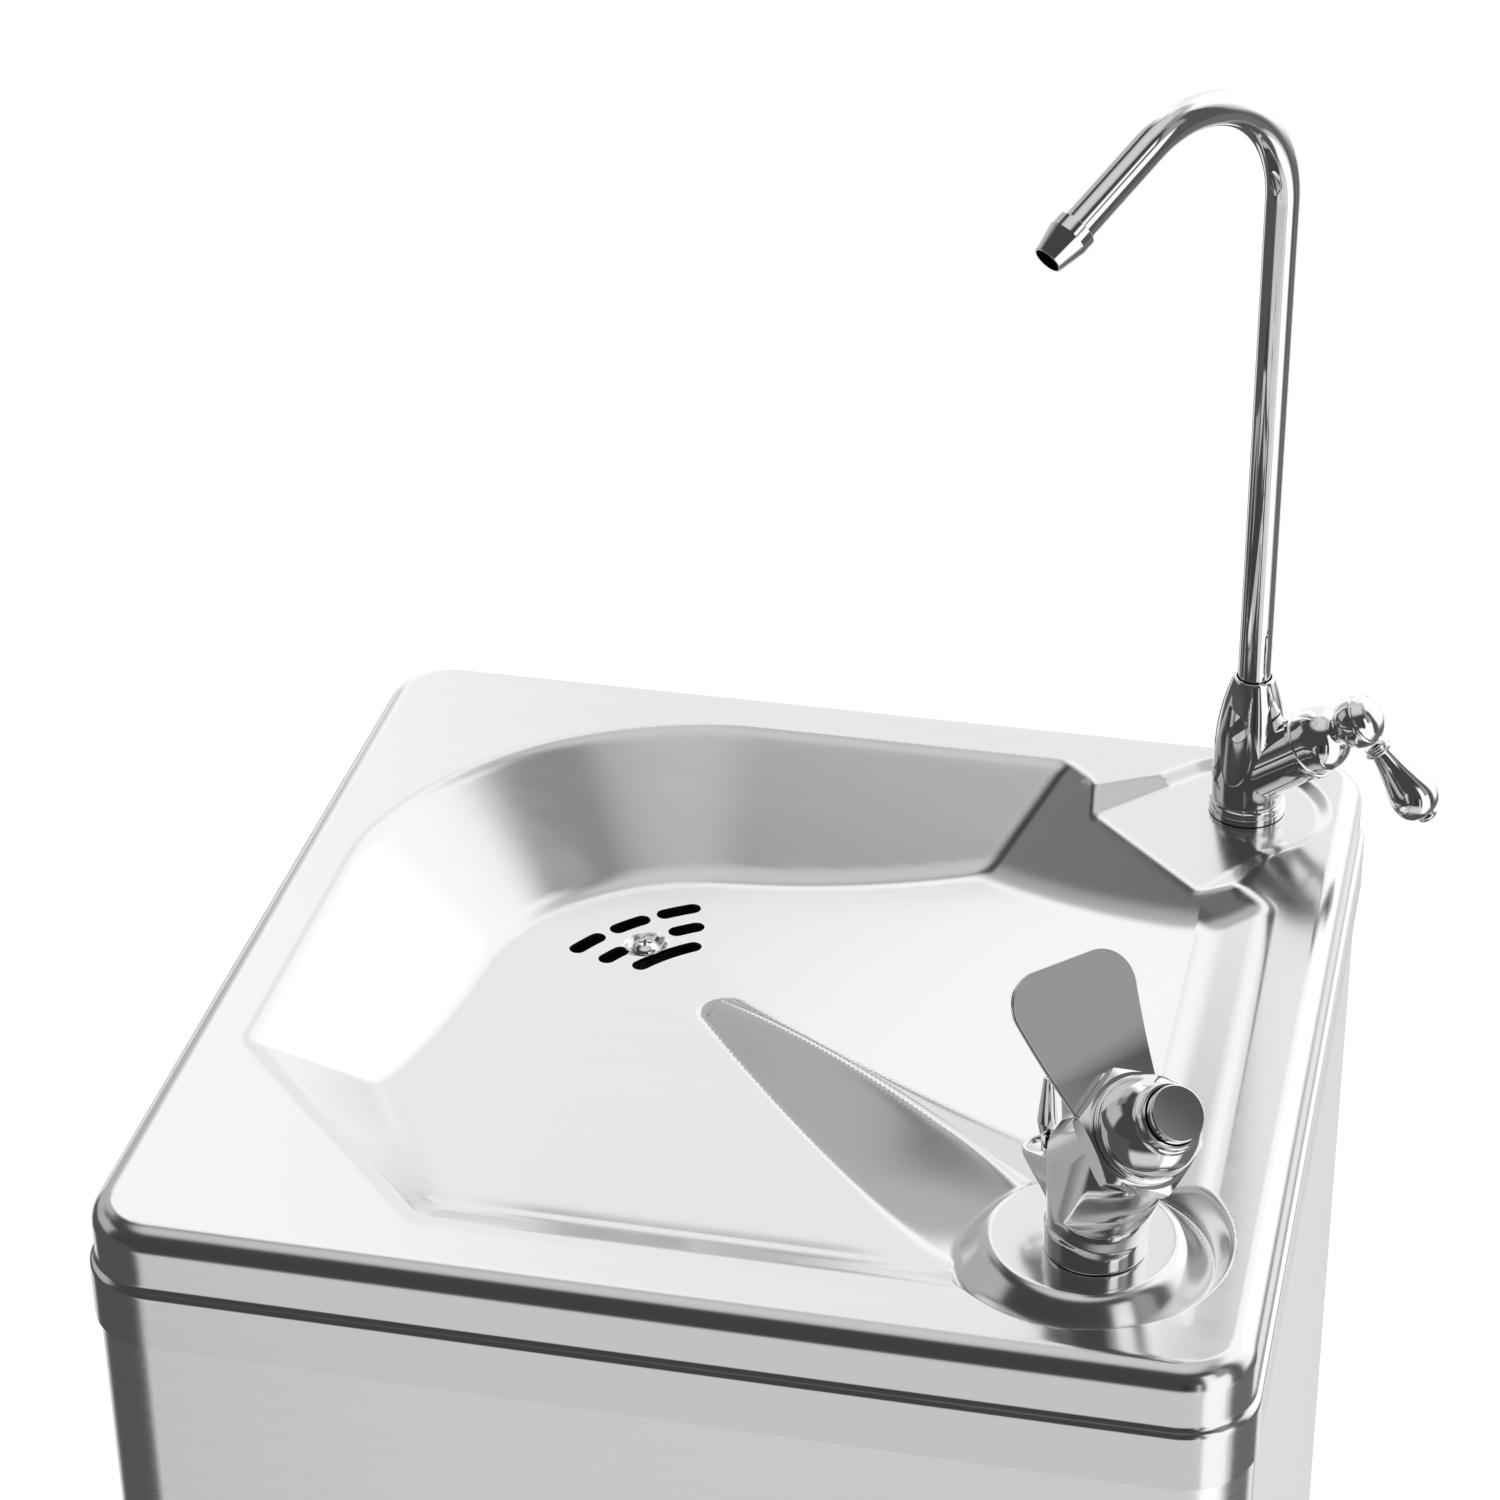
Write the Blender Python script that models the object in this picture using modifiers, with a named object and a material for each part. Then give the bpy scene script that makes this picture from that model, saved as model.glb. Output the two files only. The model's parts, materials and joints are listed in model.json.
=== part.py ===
"""Free-standing drinking fountain: pressed top with a bubbler and a swan-neck bottle filler, on a cooled cabinet.

Metres, +Z up, the floor is z = 0, the front faces -Y. Shapes are laid out about the middle of the cabinet, and one
empty carries them all so that the middle of the whole fountain's box lies over the origin.
"""

import math

import bmesh
import bpy
import numpy as np
from mathutils import Matrix, Vector

MM = 0.001
GAP = 0.3 * MM

# Driving dimensions of the top and the cabinet.
DECK_Z = 960 * MM
TOP_WIDTH = 330 * MM
TOP_DEPTH = 328 * MM
SHEET = 1.2 * MM
PANEL_SHEET = 1.0 * MM
EDGE_ROLL = 7 * MM
SKIRT_STEP = 1.8 * MM
UPPER_SKIRT_FOOT = -16.3 * MM
STEP_FOOT = -21.9 * MM
SKIRT_FOOT = -37.8 * MM
BAND_CORNER = 22 * MM
PANEL_INSET = SHEET + GAP
FOOT_HEIGHT = 20 * MM
OUTLINE_SHIFT = Vector((-0.0117, -0.0054, 0))

# The basin, as plan distances from the middle of the deck.
LIP_LEFT, LIP_RIGHT = -143 * MM, 141 * MM
LIP_FRONT, LIP_BACK = -138 * MM, 140 * MM
LIP_FRONT_LEFT_SUM = -208.5 * MM
LIP_BACK_RIGHT_SUM = 207 * MM
LIP_ARC_CENTRE = (-32 * MM, 28 * MM)
LIP_ARC_RADIUS = 112 * MM
FLOOR_DEEPEST = 34.6 * MM
FLOOR_RISE = 24.6 * MM
FLOOR_RUN = 174 * MM
LIP_FILLET = 2.4 * MM
GRID = 8.5 * MM
FOOT_FILLET = 5 * MM
DRAIN = (-54.5 * MM, 57.4 * MM)
SLOT_CENTRE = (-10 * MM, 15 * MM)
SLOT_HALF = 2.8 * MM

# The bubbler stands on a round plateau in a moat, on the diagonal that runs to the drain.
PLATEAU = (111 * MM, -108 * MM)
PLATEAU_RADIUS = 27 * MM
MOAT_RADIUS = 40.5 * MM
SPINE_LENGTH = 186 * MM
BUBBLER = (114.7 * MM, -111.7 * MM)
BUBBLER_YAW = math.radians(-45)
BARREL_TILT = math.radians(45)
BARREL_START_Z = 31.1 * MM

# The filler stands in a shallow pad that spills into the basin.
FILLER = (127.8 * MM, 126 * MM)
PAD_DEPTH = 2.4 * MM
PAD_RADIUS = 24 * MM
SPOUT_YAW = math.radians(-127)
SPOUT_RADIUS = 5.15 * MM
SPOUT_BEND_RADIUS = 38 * MM
SPOUT_BEND_Z = 208 * MM
SPOUT_BEND = math.radians(121)
SPOUT_RUN = 34 * MM
VALVE_AXIS = Vector((0.753, -0.209, 0.624)).normalized()
VALVE_START_Z = 11 * MM
HUB_DISTANCE = 45.1 * MM
HUB_RADIUS = 8.3 * MM
LEVER_AXIS = Vector((0.627, -0.061, -0.776))


# ---------------------------------------------------------------- scene helpers

for old in list(bpy.data.objects):
    bpy.data.objects.remove(old, do_unlink=True)

fountain = bpy.data.collections.new("drinking_fountain")
cutters = bpy.data.collections.new("cutters")
bpy.context.scene.collection.children.link(fountain)
bpy.context.scene.collection.children.link(cutters)

root = bpy.data.objects.new("fountain_middle", None)
root.location = OUTLINE_SHIFT
fountain.objects.link(root)


def make_material(name, colour, roughness, metallic):
    material = bpy.data.materials.new(name)
    material.use_nodes = True
    shader = material.node_tree.nodes["Principled BSDF"]
    shader.inputs["Base Color"].default_value = (*colour, 1)
    shader.inputs["Roughness"].default_value = roughness
    shader.inputs["Metallic"].default_value = metallic
    return material


STEEL = make_material("satin_steel", (0.78, 0.78, 0.78), 0.25, 1)
BRUSHED = make_material("brushed_steel", (0.74, 0.74, 0.72), 0.35, 1)
CHROME = make_material("chrome", (0.86, 0.86, 0.87), 0.06, 1)
COPPER = make_material("copper", (0.85, 0.48, 0.32), 0.3, 1)
BRASS = make_material("brass", (0.8, 0.62, 0.3), 0.3, 1)
RUBBER = make_material("black_rubber", (0.03, 0.03, 0.03), 0.8, 0)
BLACK_PAINT = make_material("black_paint", (0.03, 0.03, 0.035), 0.45, 0)
FOAM = make_material("insulation_foam", (0.12, 0.12, 0.13), 0.9, 0)
PLASTIC = make_material("grey_plastic", (0.32, 0.33, 0.34), 0.5, 0)
WHITE_PLASTIC = make_material("white_plastic", (0.85, 0.85, 0.83), 0.45, 0)
ZINC = make_material("zinc_plate", (0.6, 0.61, 0.62), 0.4, 1)


def add_object(name, data, material, matrix=None, collection=fountain):
    obj = bpy.data.objects.new(name, data)
    collection.objects.link(obj)
    obj.parent = root
    if matrix is not None:
        obj.matrix_local = matrix
    if material is not None:
        data.materials.append(material)
    if collection is cutters:
        obj.hide_render = True
        obj.display_type = "WIRE"
    return obj


def smooth(obj, degrees=35):
    obj.data.shade_smooth()
    obj.data.set_sharp_from_angle(angle=math.radians(degrees))
    return obj


def frame_on(point, direction, spin=0.0):
    """A matrix at point whose local +Z runs along direction."""
    turn = Vector(direction).to_track_quat("Z", "Y").to_matrix().to_4x4()
    return Matrix.Translation(Vector(point)) @ turn @ Matrix.Rotation(spin, 4, "Z")


def at(x, y, z):
    return Matrix.Translation(Vector((x, y, z)))


def turned(name, profile, material, matrix, steps=20, collection=fountain):
    """A solid turned about local Z. The profile lists (radius, height) from top to bottom."""
    mesh = bpy.data.meshes.new(name)
    points = [(radius, 0, height) for radius, height in profile]
    closed = profile[0][0] > 0
    edges = [(i, i + 1) for i in range(len(points) - 1)]
    if closed:
        edges.append((len(points) - 1, 0))
    mesh.from_pydata(points, edges, [])
    obj = add_object(name, mesh, material, matrix, collection)
    screw = obj.modifiers.new("turn", "SCREW")
    screw.axis = "Z"
    screw.steps = steps
    screw.render_steps = steps
    screw.use_merge_vertices = True
    screw.merge_threshold = 0.00001
    screw.use_smooth_shade = True
    return obj


def rod(name, radius, low, high, material, matrix, steps=20, collection=fountain):
    return turned(name, [(0, high), (radius, high), (radius, low), (0, low)], material, matrix, steps, collection)


def ring(name, inner, outer, low, high, material, matrix, steps=20, collection=fountain):
    """A washer or sleeve: outer wall downwards, then back up the bore."""
    profile = [(inner, high), (outer, high), (outer, low), (inner, low)]
    return turned(name, profile, material, matrix, steps, collection)


def arc_profile(centre_height, radius, start, end, count):
    """(radius, height) points on a ball's outline, angles in degrees up from its equator."""
    angles = np.radians(np.linspace(start, end, count))
    return [(radius * math.cos(a), centre_height + radius * math.sin(a)) for a in angles]


def block(name, size, centre, material, matrix=None, collection=fountain, bevel=0.0):
    mesh = bpy.data.meshes.new(name)
    bm = bmesh.new()
    bmesh.ops.create_cube(bm, size=1)
    bmesh.ops.scale(bm, vec=Vector(size), verts=bm.verts)
    bmesh.ops.translate(bm, vec=Vector(centre), verts=bm.verts)
    bm.to_mesh(mesh)
    bm.free()
    obj = add_object(name, mesh, material, matrix or Matrix(), collection)
    if bevel:
        rounding = obj.modifiers.new("round_edges", "BEVEL")
        rounding.width = bevel
        rounding.segments = 2
    return obj


def prism(name, outline, low, high, material, matrix=None, collection=fountain):
    """An upright solid on a flat outline of (x, y) points, given anticlockwise."""
    mesh = bpy.data.meshes.new(name)
    bm = bmesh.new()
    add_prism(bm, outline, low, high)
    bm.to_mesh(mesh)
    bm.free()
    return add_object(name, mesh, material, matrix or Matrix(), collection)


def add_prism(bm, outline, low, high):
    face = bm.faces.new([bm.verts.new((x, y, low)) for x, y in outline])
    lifted = bmesh.ops.extrude_face_region(bm, geom=[face])
    top = [item for item in lifted["geom"] if isinstance(item, bmesh.types.BMVert)]
    bmesh.ops.translate(bm, vec=(0, 0, high - low), verts=top)
    bmesh.ops.recalc_face_normals(bm, faces=bm.faces)


def combine(obj, other, operation):
    step = obj.modifiers.new(operation.lower(), "BOOLEAN")
    step.operation = operation
    step.object = other
    step.solver = "EXACT"
    return obj


def cut(obj, *others):
    for other in others:
        combine(obj, other, "DIFFERENCE")
    return obj


def tube(name, points, radius, material, resolution=2, matrix=None):
    """A round bar or pipe along a smooth run of points."""
    curve = bpy.data.curves.new(name, "CURVE")
    curve.dimensions = "3D"
    curve.bevel_depth = radius
    curve.bevel_resolution = resolution
    curve.use_fill_caps = True
    spline = curve.splines.new("POLY")
    spline.points.add(len(points) - 1)
    for slot, point in zip(spline.points, points):
        slot.co = (*point, 1)
    spline.use_smooth = True
    return add_object(name, curve, material, matrix or Matrix())


def rounded_route(corners, radius, steps=4):
    """Points along straight runs through corners, with each corner bent to a radius."""
    corners = [Vector(c) for c in corners]
    route = [corners[0]]
    for before, here, after in zip(corners, corners[1:], corners[2:]):
        back = (before - here).normalized()
        ahead = (after - here).normalized()
        half = back.angle(ahead) / 2
        reach = radius / math.tan(half)
        middle = here + (back + ahead).normalized() * (radius / math.sin(half))
        first = here + back * reach - middle
        last = here + ahead * reach - middle
        turn = first.angle(last)
        for i in range(steps + 1):
            angle = turn * i / steps
            route.append(middle + (first * math.sin(turn - angle) + last * math.sin(angle)) / math.sin(turn))
    route.append(corners[-1])
    return route


def to_mesh(obj):
    """Turns a curve object into a mesh object with welded caps."""
    evaluated = obj.evaluated_get(bpy.context.evaluated_depsgraph_get())
    mesh = bpy.data.meshes.new_from_object(evaluated)
    bm = bmesh.new()
    bm.from_mesh(mesh)
    bmesh.ops.remove_doubles(bm, verts=bm.verts, dist=0.00001)
    bm.to_mesh(mesh)
    bm.free()
    name = obj.name
    matrix = obj.matrix_local.copy()
    bpy.data.objects.remove(obj, do_unlink=True)
    solid = add_object(name, mesh, None, matrix)
    solid.name = name
    return solid


def corner_arc(centre_x, centre_y, radius, start, end, steps=4):
    angles = np.radians(np.linspace(start, end, steps + 1))
    return [(centre_x + radius * math.cos(a), centre_y + radius * math.sin(a)) for a in angles]


def bent_sheet(name, line, low, high, thickness, material):
    """A folded sheet: an open line seen from above, raised from low to high, thickened to its left."""
    mesh = bpy.data.meshes.new(name)
    bm = bmesh.new()
    bottom = [bm.verts.new((x, y, low)) for x, y in line]
    edges = [bm.edges.new(pair) for pair in zip(bottom, bottom[1:])]
    lifted = bmesh.ops.extrude_edge_only(bm, edges=edges)
    top = [item for item in lifted["geom"] if isinstance(item, bmesh.types.BMVert)]
    bmesh.ops.translate(bm, vec=(0, 0, high - low), verts=top)
    bmesh.ops.recalc_face_normals(bm, faces=bm.faces)
    bm.to_mesh(mesh)
    bm.free()
    obj = add_object(name, mesh, material, Matrix())
    sheet = obj.modifiers.new("sheet", "SOLIDIFY")
    sheet.thickness = thickness
    sheet.offset = -1
    sheet.use_even_offset = True
    return obj


# ---------------------------------------------------------------- the pressed top


def smooth_min(a, b, width):
    overlap = np.maximum(width - np.abs(a - b), 0) / width
    return np.minimum(a, b) - overlap * overlap * width / 4


def smooth_max(a, b, width):
    return -smooth_min(-a, -b, width)


def basin_depth(x, y):
    """How far the pressing lies below the deck at a plan point."""
    arc_x, arc_y = LIP_ARC_CENTRE
    in_arc = LIP_ARC_RADIUS - np.hypot(np.maximum(arc_x - x, 0), np.maximum(y - arc_y, 0))
    walls = smooth_min(in_arc / 1.2, (LIP_RIGHT - x) / 1.75, 2 * MM)
    walls = smooth_min(walls, (x - LIP_LEFT) / 1.2, 1 * MM)
    walls = smooth_min(walls, (LIP_BACK - y) / 1.2, 1 * MM)
    walls = smooth_min(walls, (y - LIP_FRONT) / 1.9, 2 * MM)
    walls = smooth_min(walls, (x + y - LIP_FRONT_LEFT_SUM) / math.sqrt(2) / 1.4, 2 * MM)
    walls = smooth_min(walls, (LIP_BACK_RIGHT_SUM - x - y) / math.sqrt(2) / 1.4, 2 * MM)

    from_plateau = np.hypot(x - PLATEAU[0], y - PLATEAU[1])
    walls = smooth_max(walls, (MOAT_RADIUS - from_plateau) / 0.4, 2 * MM)

    run = smooth_min(y + 117 * MM, 120 * MM - x, 20 * MM)
    run = np.clip(run, 0, FLOOR_RUN)
    floor = FLOOR_DEEPEST - FLOOR_RISE * (1 - run / FLOOR_RUN) ** 2
    depth = smooth_min(walls, floor, FOOT_FILLET)

    along = ((PLATEAU[0] - x) + (y - PLATEAU[1])) / math.sqrt(2)
    across = ((x - PLATEAU[0]) + (y - PLATEAU[1])) / math.sqrt(2)
    ridge = 0.83 * np.clip(along, 0, SPINE_LENGTH) ** 2
    half_width = 34.5 * MM - 0.155 * np.clip(along, 0, SPINE_LENGTH)
    past_end = np.maximum(along - SPINE_LENGTH, 0) + np.maximum(-along, 0)
    spine = ridge + np.maximum(floor - ridge, 4 * MM) * np.hypot(across, past_end) / half_width
    depth = smooth_min(depth, spine, 1.2 * MM)

    depth = smooth_min(depth, (from_plateau - PLATEAU_RADIUS) / 0.85, 1.5 * MM)

    spill = ((FILLER[0] - x) + (FILLER[1] - y)) / math.sqrt(2)
    beside = ((x - FILLER[0]) - (y - FILLER[1])) / math.sqrt(2)
    lip_run = np.clip(spill - 13 * MM, 0, 30 * MM) / (18.5 * MM)
    past_spill = 1.15 * np.minimum(spill, 0) + np.maximum(spill - 60 * MM, 0)
    outside = np.hypot(beside, past_spill) - (PAD_RADIUS + 2 * MM * lip_run)
    channel_floor = PAD_DEPTH + 2 * MM * lip_run
    channel = smooth_min(channel_floor, channel_floor - outside / 2.2, 0.8 * MM)
    depth = smooth_max(depth, channel, 2 * MM)
    return smooth_max(depth, 0 * depth, LIP_FILLET)


def deck_lines(half, corner, spacing):
    """Grid lines across the deck: close together in the rounded corners, even between them."""
    inner = half - corner
    count = round(2 * inner / spacing)
    return [-half, -half + corner / 3, -half + 2 * corner / 3, *np.linspace(-inner, inner, count + 1),
            half - 2 * corner / 3, half - corner / 3, half]


def round_corner(x, y, half_x, half_y, corner):
    """Moves a point of a square corner onto the matching round corner."""
    over_x = abs(x) - (half_x - corner)
    over_y = abs(y) - (half_y - corner)
    if over_x <= 0 or over_y <= 0:
        return x, y
    scale = max(over_x, over_y) / math.hypot(over_x, over_y)
    return (math.copysign(half_x - corner + over_x * scale, x),
            math.copysign(half_y - corner + over_y * scale, y))


def make_basin_top():
    deck_x = TOP_WIDTH / 2 - SKIRT_STEP - EDGE_ROLL
    deck_y = TOP_DEPTH / 2 - SKIRT_STEP - EDGE_ROLL
    corner = BAND_CORNER - SKIRT_STEP - EDGE_ROLL
    lines_x = deck_lines(deck_x, corner, GRID)
    lines_y = deck_lines(deck_y, corner, GRID)

    bm = bmesh.new()
    across, along = len(lines_x) - 1, len(lines_y) - 1
    bmesh.ops.create_grid(bm, x_segments=across, y_segments=along, size=0.5)
    for vert in bm.verts:
        x = lines_x[round((vert.co.x + 0.5) * across)]
        y = lines_y[round((vert.co.y + 0.5) * along)]
        x, y = round_corner(x, y, deck_x, deck_y, corner)
        vert.co = (x, y, -float(basin_depth(np.float64(x), np.float64(y))))
    for vert in bm.verts:
        if vert.is_boundary:
            vert.co.z = 0

    roll_turns = [math.radians(a) for a in (30, 60, 90)]
    rings = [(EDGE_ROLL * math.sin(a), EDGE_ROLL * (math.cos(a) - 1)) for a in roll_turns]
    rings += [(EDGE_ROLL, UPPER_SKIRT_FOOT), (EDGE_ROLL + SKIRT_STEP, STEP_FOOT), (EDGE_ROLL + SKIRT_STEP, SKIRT_FOOT)]
    rim = [edge for edge in bm.edges if edge.is_boundary]
    for out, height in rings:
        grown = bmesh.ops.extrude_edge_only(bm, edges=rim)["geom"]
        rim = [item for item in grown if isinstance(item, bmesh.types.BMEdge)
               and all(vert in grown for vert in item.verts)]
        for vert in [item for item in grown if isinstance(item, bmesh.types.BMVert)]:
            over_x = max(abs(vert.co.x) - (deck_x - corner), 0)
            over_y = max(abs(vert.co.y) - (deck_y - corner), 0)
            if over_x and over_y:
                scale = (corner + out) / math.hypot(over_x, over_y)
                over_x, over_y = over_x * scale, over_y * scale
            elif over_x:
                over_x = corner + out
            else:
                over_y = corner + out
            if over_x:
                vert.co.x = math.copysign(deck_x - corner + over_x, vert.co.x)
            if over_y:
                vert.co.y = math.copysign(deck_y - corner + over_y, vert.co.y)
            vert.co.z = height
    bmesh.ops.recalc_face_normals(bm, faces=bm.faces)
    mesh = bpy.data.meshes.new("basin_top")
    bm.to_mesh(mesh)
    bm.free()
    top = add_object("basin_top", mesh, STEEL, at(0, 0, DECK_Z))
    smooth(top)
    fewer = top.modifiers.new("merge_flat_faces", "DECIMATE")
    fewer.decimate_type = "DISSOLVE"
    fewer.angle_limit = math.radians(1.5)
    flat = top.modifiers.new("triangles", "TRIANGULATE")
    flat.min_vertices = 4
    sheet = top.modifiers.new("sheet", "SOLIDIFY")
    sheet.thickness = SHEET
    sheet.offset = -1
    cut(top, *make_top_holes())
    return top


def slot_outline(radius, start, end, half_width):
    """A round-ended slot bent along a circle about the slot centre."""
    outer = corner_arc(0, 0, radius + half_width, start, end, 4)
    inner = corner_arc(0, 0, radius - half_width, end, start, 4)

    def cap(angle, first):
        middle = math.radians(angle)
        return corner_arc(radius * math.cos(middle), radius * math.sin(middle), half_width, first, first + 180, 4)[1:-1]

    points = outer + cap(end, end) + inner + cap(start, start + 180)
    return [(SLOT_CENTRE[0] + x, SLOT_CENTRE[1] + y) for x, y in points]


def make_top_holes():
    low, high = -50 * MM, 10 * MM
    bm = bmesh.new()
    rows = {74 * MM: [(144.7, 151.2), (131.3, 138.1), (117.8, 124.9)],
            63 * MM: [(144.4, 149.6), (119.3, 125.1)],
            52.5 * MM: [(123.7, 144.8)]}
    for radius, slots in rows.items():
        for start, end in slots:
            add_prism(bm, slot_outline(radius, start, end, SLOT_HALF), low, high)
    mesh = bpy.data.meshes.new("drain_slots_cutter")
    bm.to_mesh(mesh)
    bm.free()
    slots = add_object("drain_slots_cutter", mesh, None, at(0, 0, DECK_Z), cutters)
    screw = rod("drain_screw_cutter", 2.6 * MM, low, high, None, at(*DRAIN, DECK_Z), 16, cutters)
    bubbler = rod("bubbler_hole_cutter", 7.6 * MM, low, high, None, at(*BUBBLER, DECK_Z), 20, cutters)
    filler = rod("filler_hole_cutter", 6.6 * MM, low, high, None, at(*FILLER, DECK_Z), 20, cutters)
    return slots, screw, bubbler, filler


# ---------------------------------------------------------------- the drain

DRAIN_Z = DECK_Z - FLOOR_DEEPEST


def make_drain():
    place = at(*DRAIN, DRAIN_Z)
    head = [(0, 2.2 * MM), (2.6 * MM, 1.9 * MM), (4.4 * MM, 1 * MM), (4.7 * MM, GAP), (2.2 * MM, GAP),
            (2.2 * MM, -18 * MM), (0, -18 * MM)]
    screw = turned("drain_screw", head, CHROME, place, 20)
    drive = cutters_cross("screw_cross_cutter", 5 * MM, 0.9 * MM, 0.9 * MM, 3 * MM, place)
    cut(screw, drive)
    under = -SHEET - GAP
    ring("drain_gasket", 28 * MM, 32 * MM, under - 2 * MM, under, RUBBER, place, 20)
    rim = under - 2 * MM - GAP
    cup = [(28.5 * MM, rim), (32 * MM, rim), (32 * MM, rim - 2 * MM), (30.5 * MM, rim - 2 * MM),
           (30.5 * MM, rim - 18 * MM), (13 * MM, rim - 30 * MM), (13 * MM, rim - 50 * MM), (11 * MM, rim - 50 * MM),
           (11 * MM, rim - 29 * MM), (28.5 * MM, rim - 17 * MM)]
    turned("waste_cup", cup, PLASTIC, place, 20)
    bottom = DRAIN_Z + rim - 50 * MM
    turn_z = bottom - 60 * MM
    outlet_y = TOP_DEPTH / 2 - 22 * MM
    pipe_x, pipe_y = DRAIN
    route = rounded_route([(pipe_x, pipe_y, bottom - 4 * MM), (pipe_x, pipe_y, turn_z),
                           (WASTE_X, pipe_y, turn_z - 25 * MM), (WASTE_X, pipe_y, WASTE_Z),
                           (WASTE_X, outlet_y - 22 * MM, WASTE_Z)], 18 * MM)
    tube("waste_pipe", route, 11 * MM, PLASTIC, 3)
    outlet = [(0, 0), (13 * MM, 0), (13 * MM, -14 * MM), (18 * MM, -14 * MM), (18 * MM, -18 * MM), (10 * MM, -18 * MM),
              (10 * MM, -38 * MM), (0, -38 * MM)]
    body = turned("waste_outlet", outlet, PLASTIC,
                  frame_on((WASTE_X, TOP_DEPTH / 2 + 8 * MM, WASTE_Z), (0, 1, 0)), 20)
    bore = rod("waste_outlet_cutter", 8 * MM, -30 * MM, 10 * MM, None,
               frame_on((WASTE_X, TOP_DEPTH / 2 + 8 * MM, WASTE_Z), (0, 1, 0)), 16, cutters)
    cut(body, bore)


WASTE_X, WASTE_Z = -95 * MM, 120 * MM


def cutters_cross(name, length, width, low, high, matrix):
    """A plus-shaped cutter for a cross-head drive."""
    half, arm = length / 2, width / 2
    outline = [(half, -arm), (half, arm), (arm, arm), (arm, half), (-arm, half), (-arm, arm), (-half, arm),
               (-half, -arm), (-arm, -arm), (-arm, -half), (arm, -half), (arm, -arm)]
    return prism(name, outline, low, high, None, matrix, cutters)


# ---------------------------------------------------------------- the bubbler

BUBBLER_FRAME = at(*BUBBLER, DECK_Z) @ Matrix.Rotation(BUBBLER_YAW, 4, "Z")
BARREL_FRAME = BUBBLER_FRAME @ frame_on((0, 0, BARREL_START_Z), (math.cos(BARREL_TILT), 0, math.sin(BARREL_TILT)))
BARREL_END = 18.4 * MM
GUARD_BACK = 18.7 * MM
GUARD_FRONT = 20.1 * MM
NUT_BACK = 20.4 * MM
NUT_FRONT = 26.4 * MM
DOME_CENTRE = 29.1 * MM
DOME_RADIUS = 14.2 * MM
BUTTON_FACE = 46.4 * MM


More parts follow.
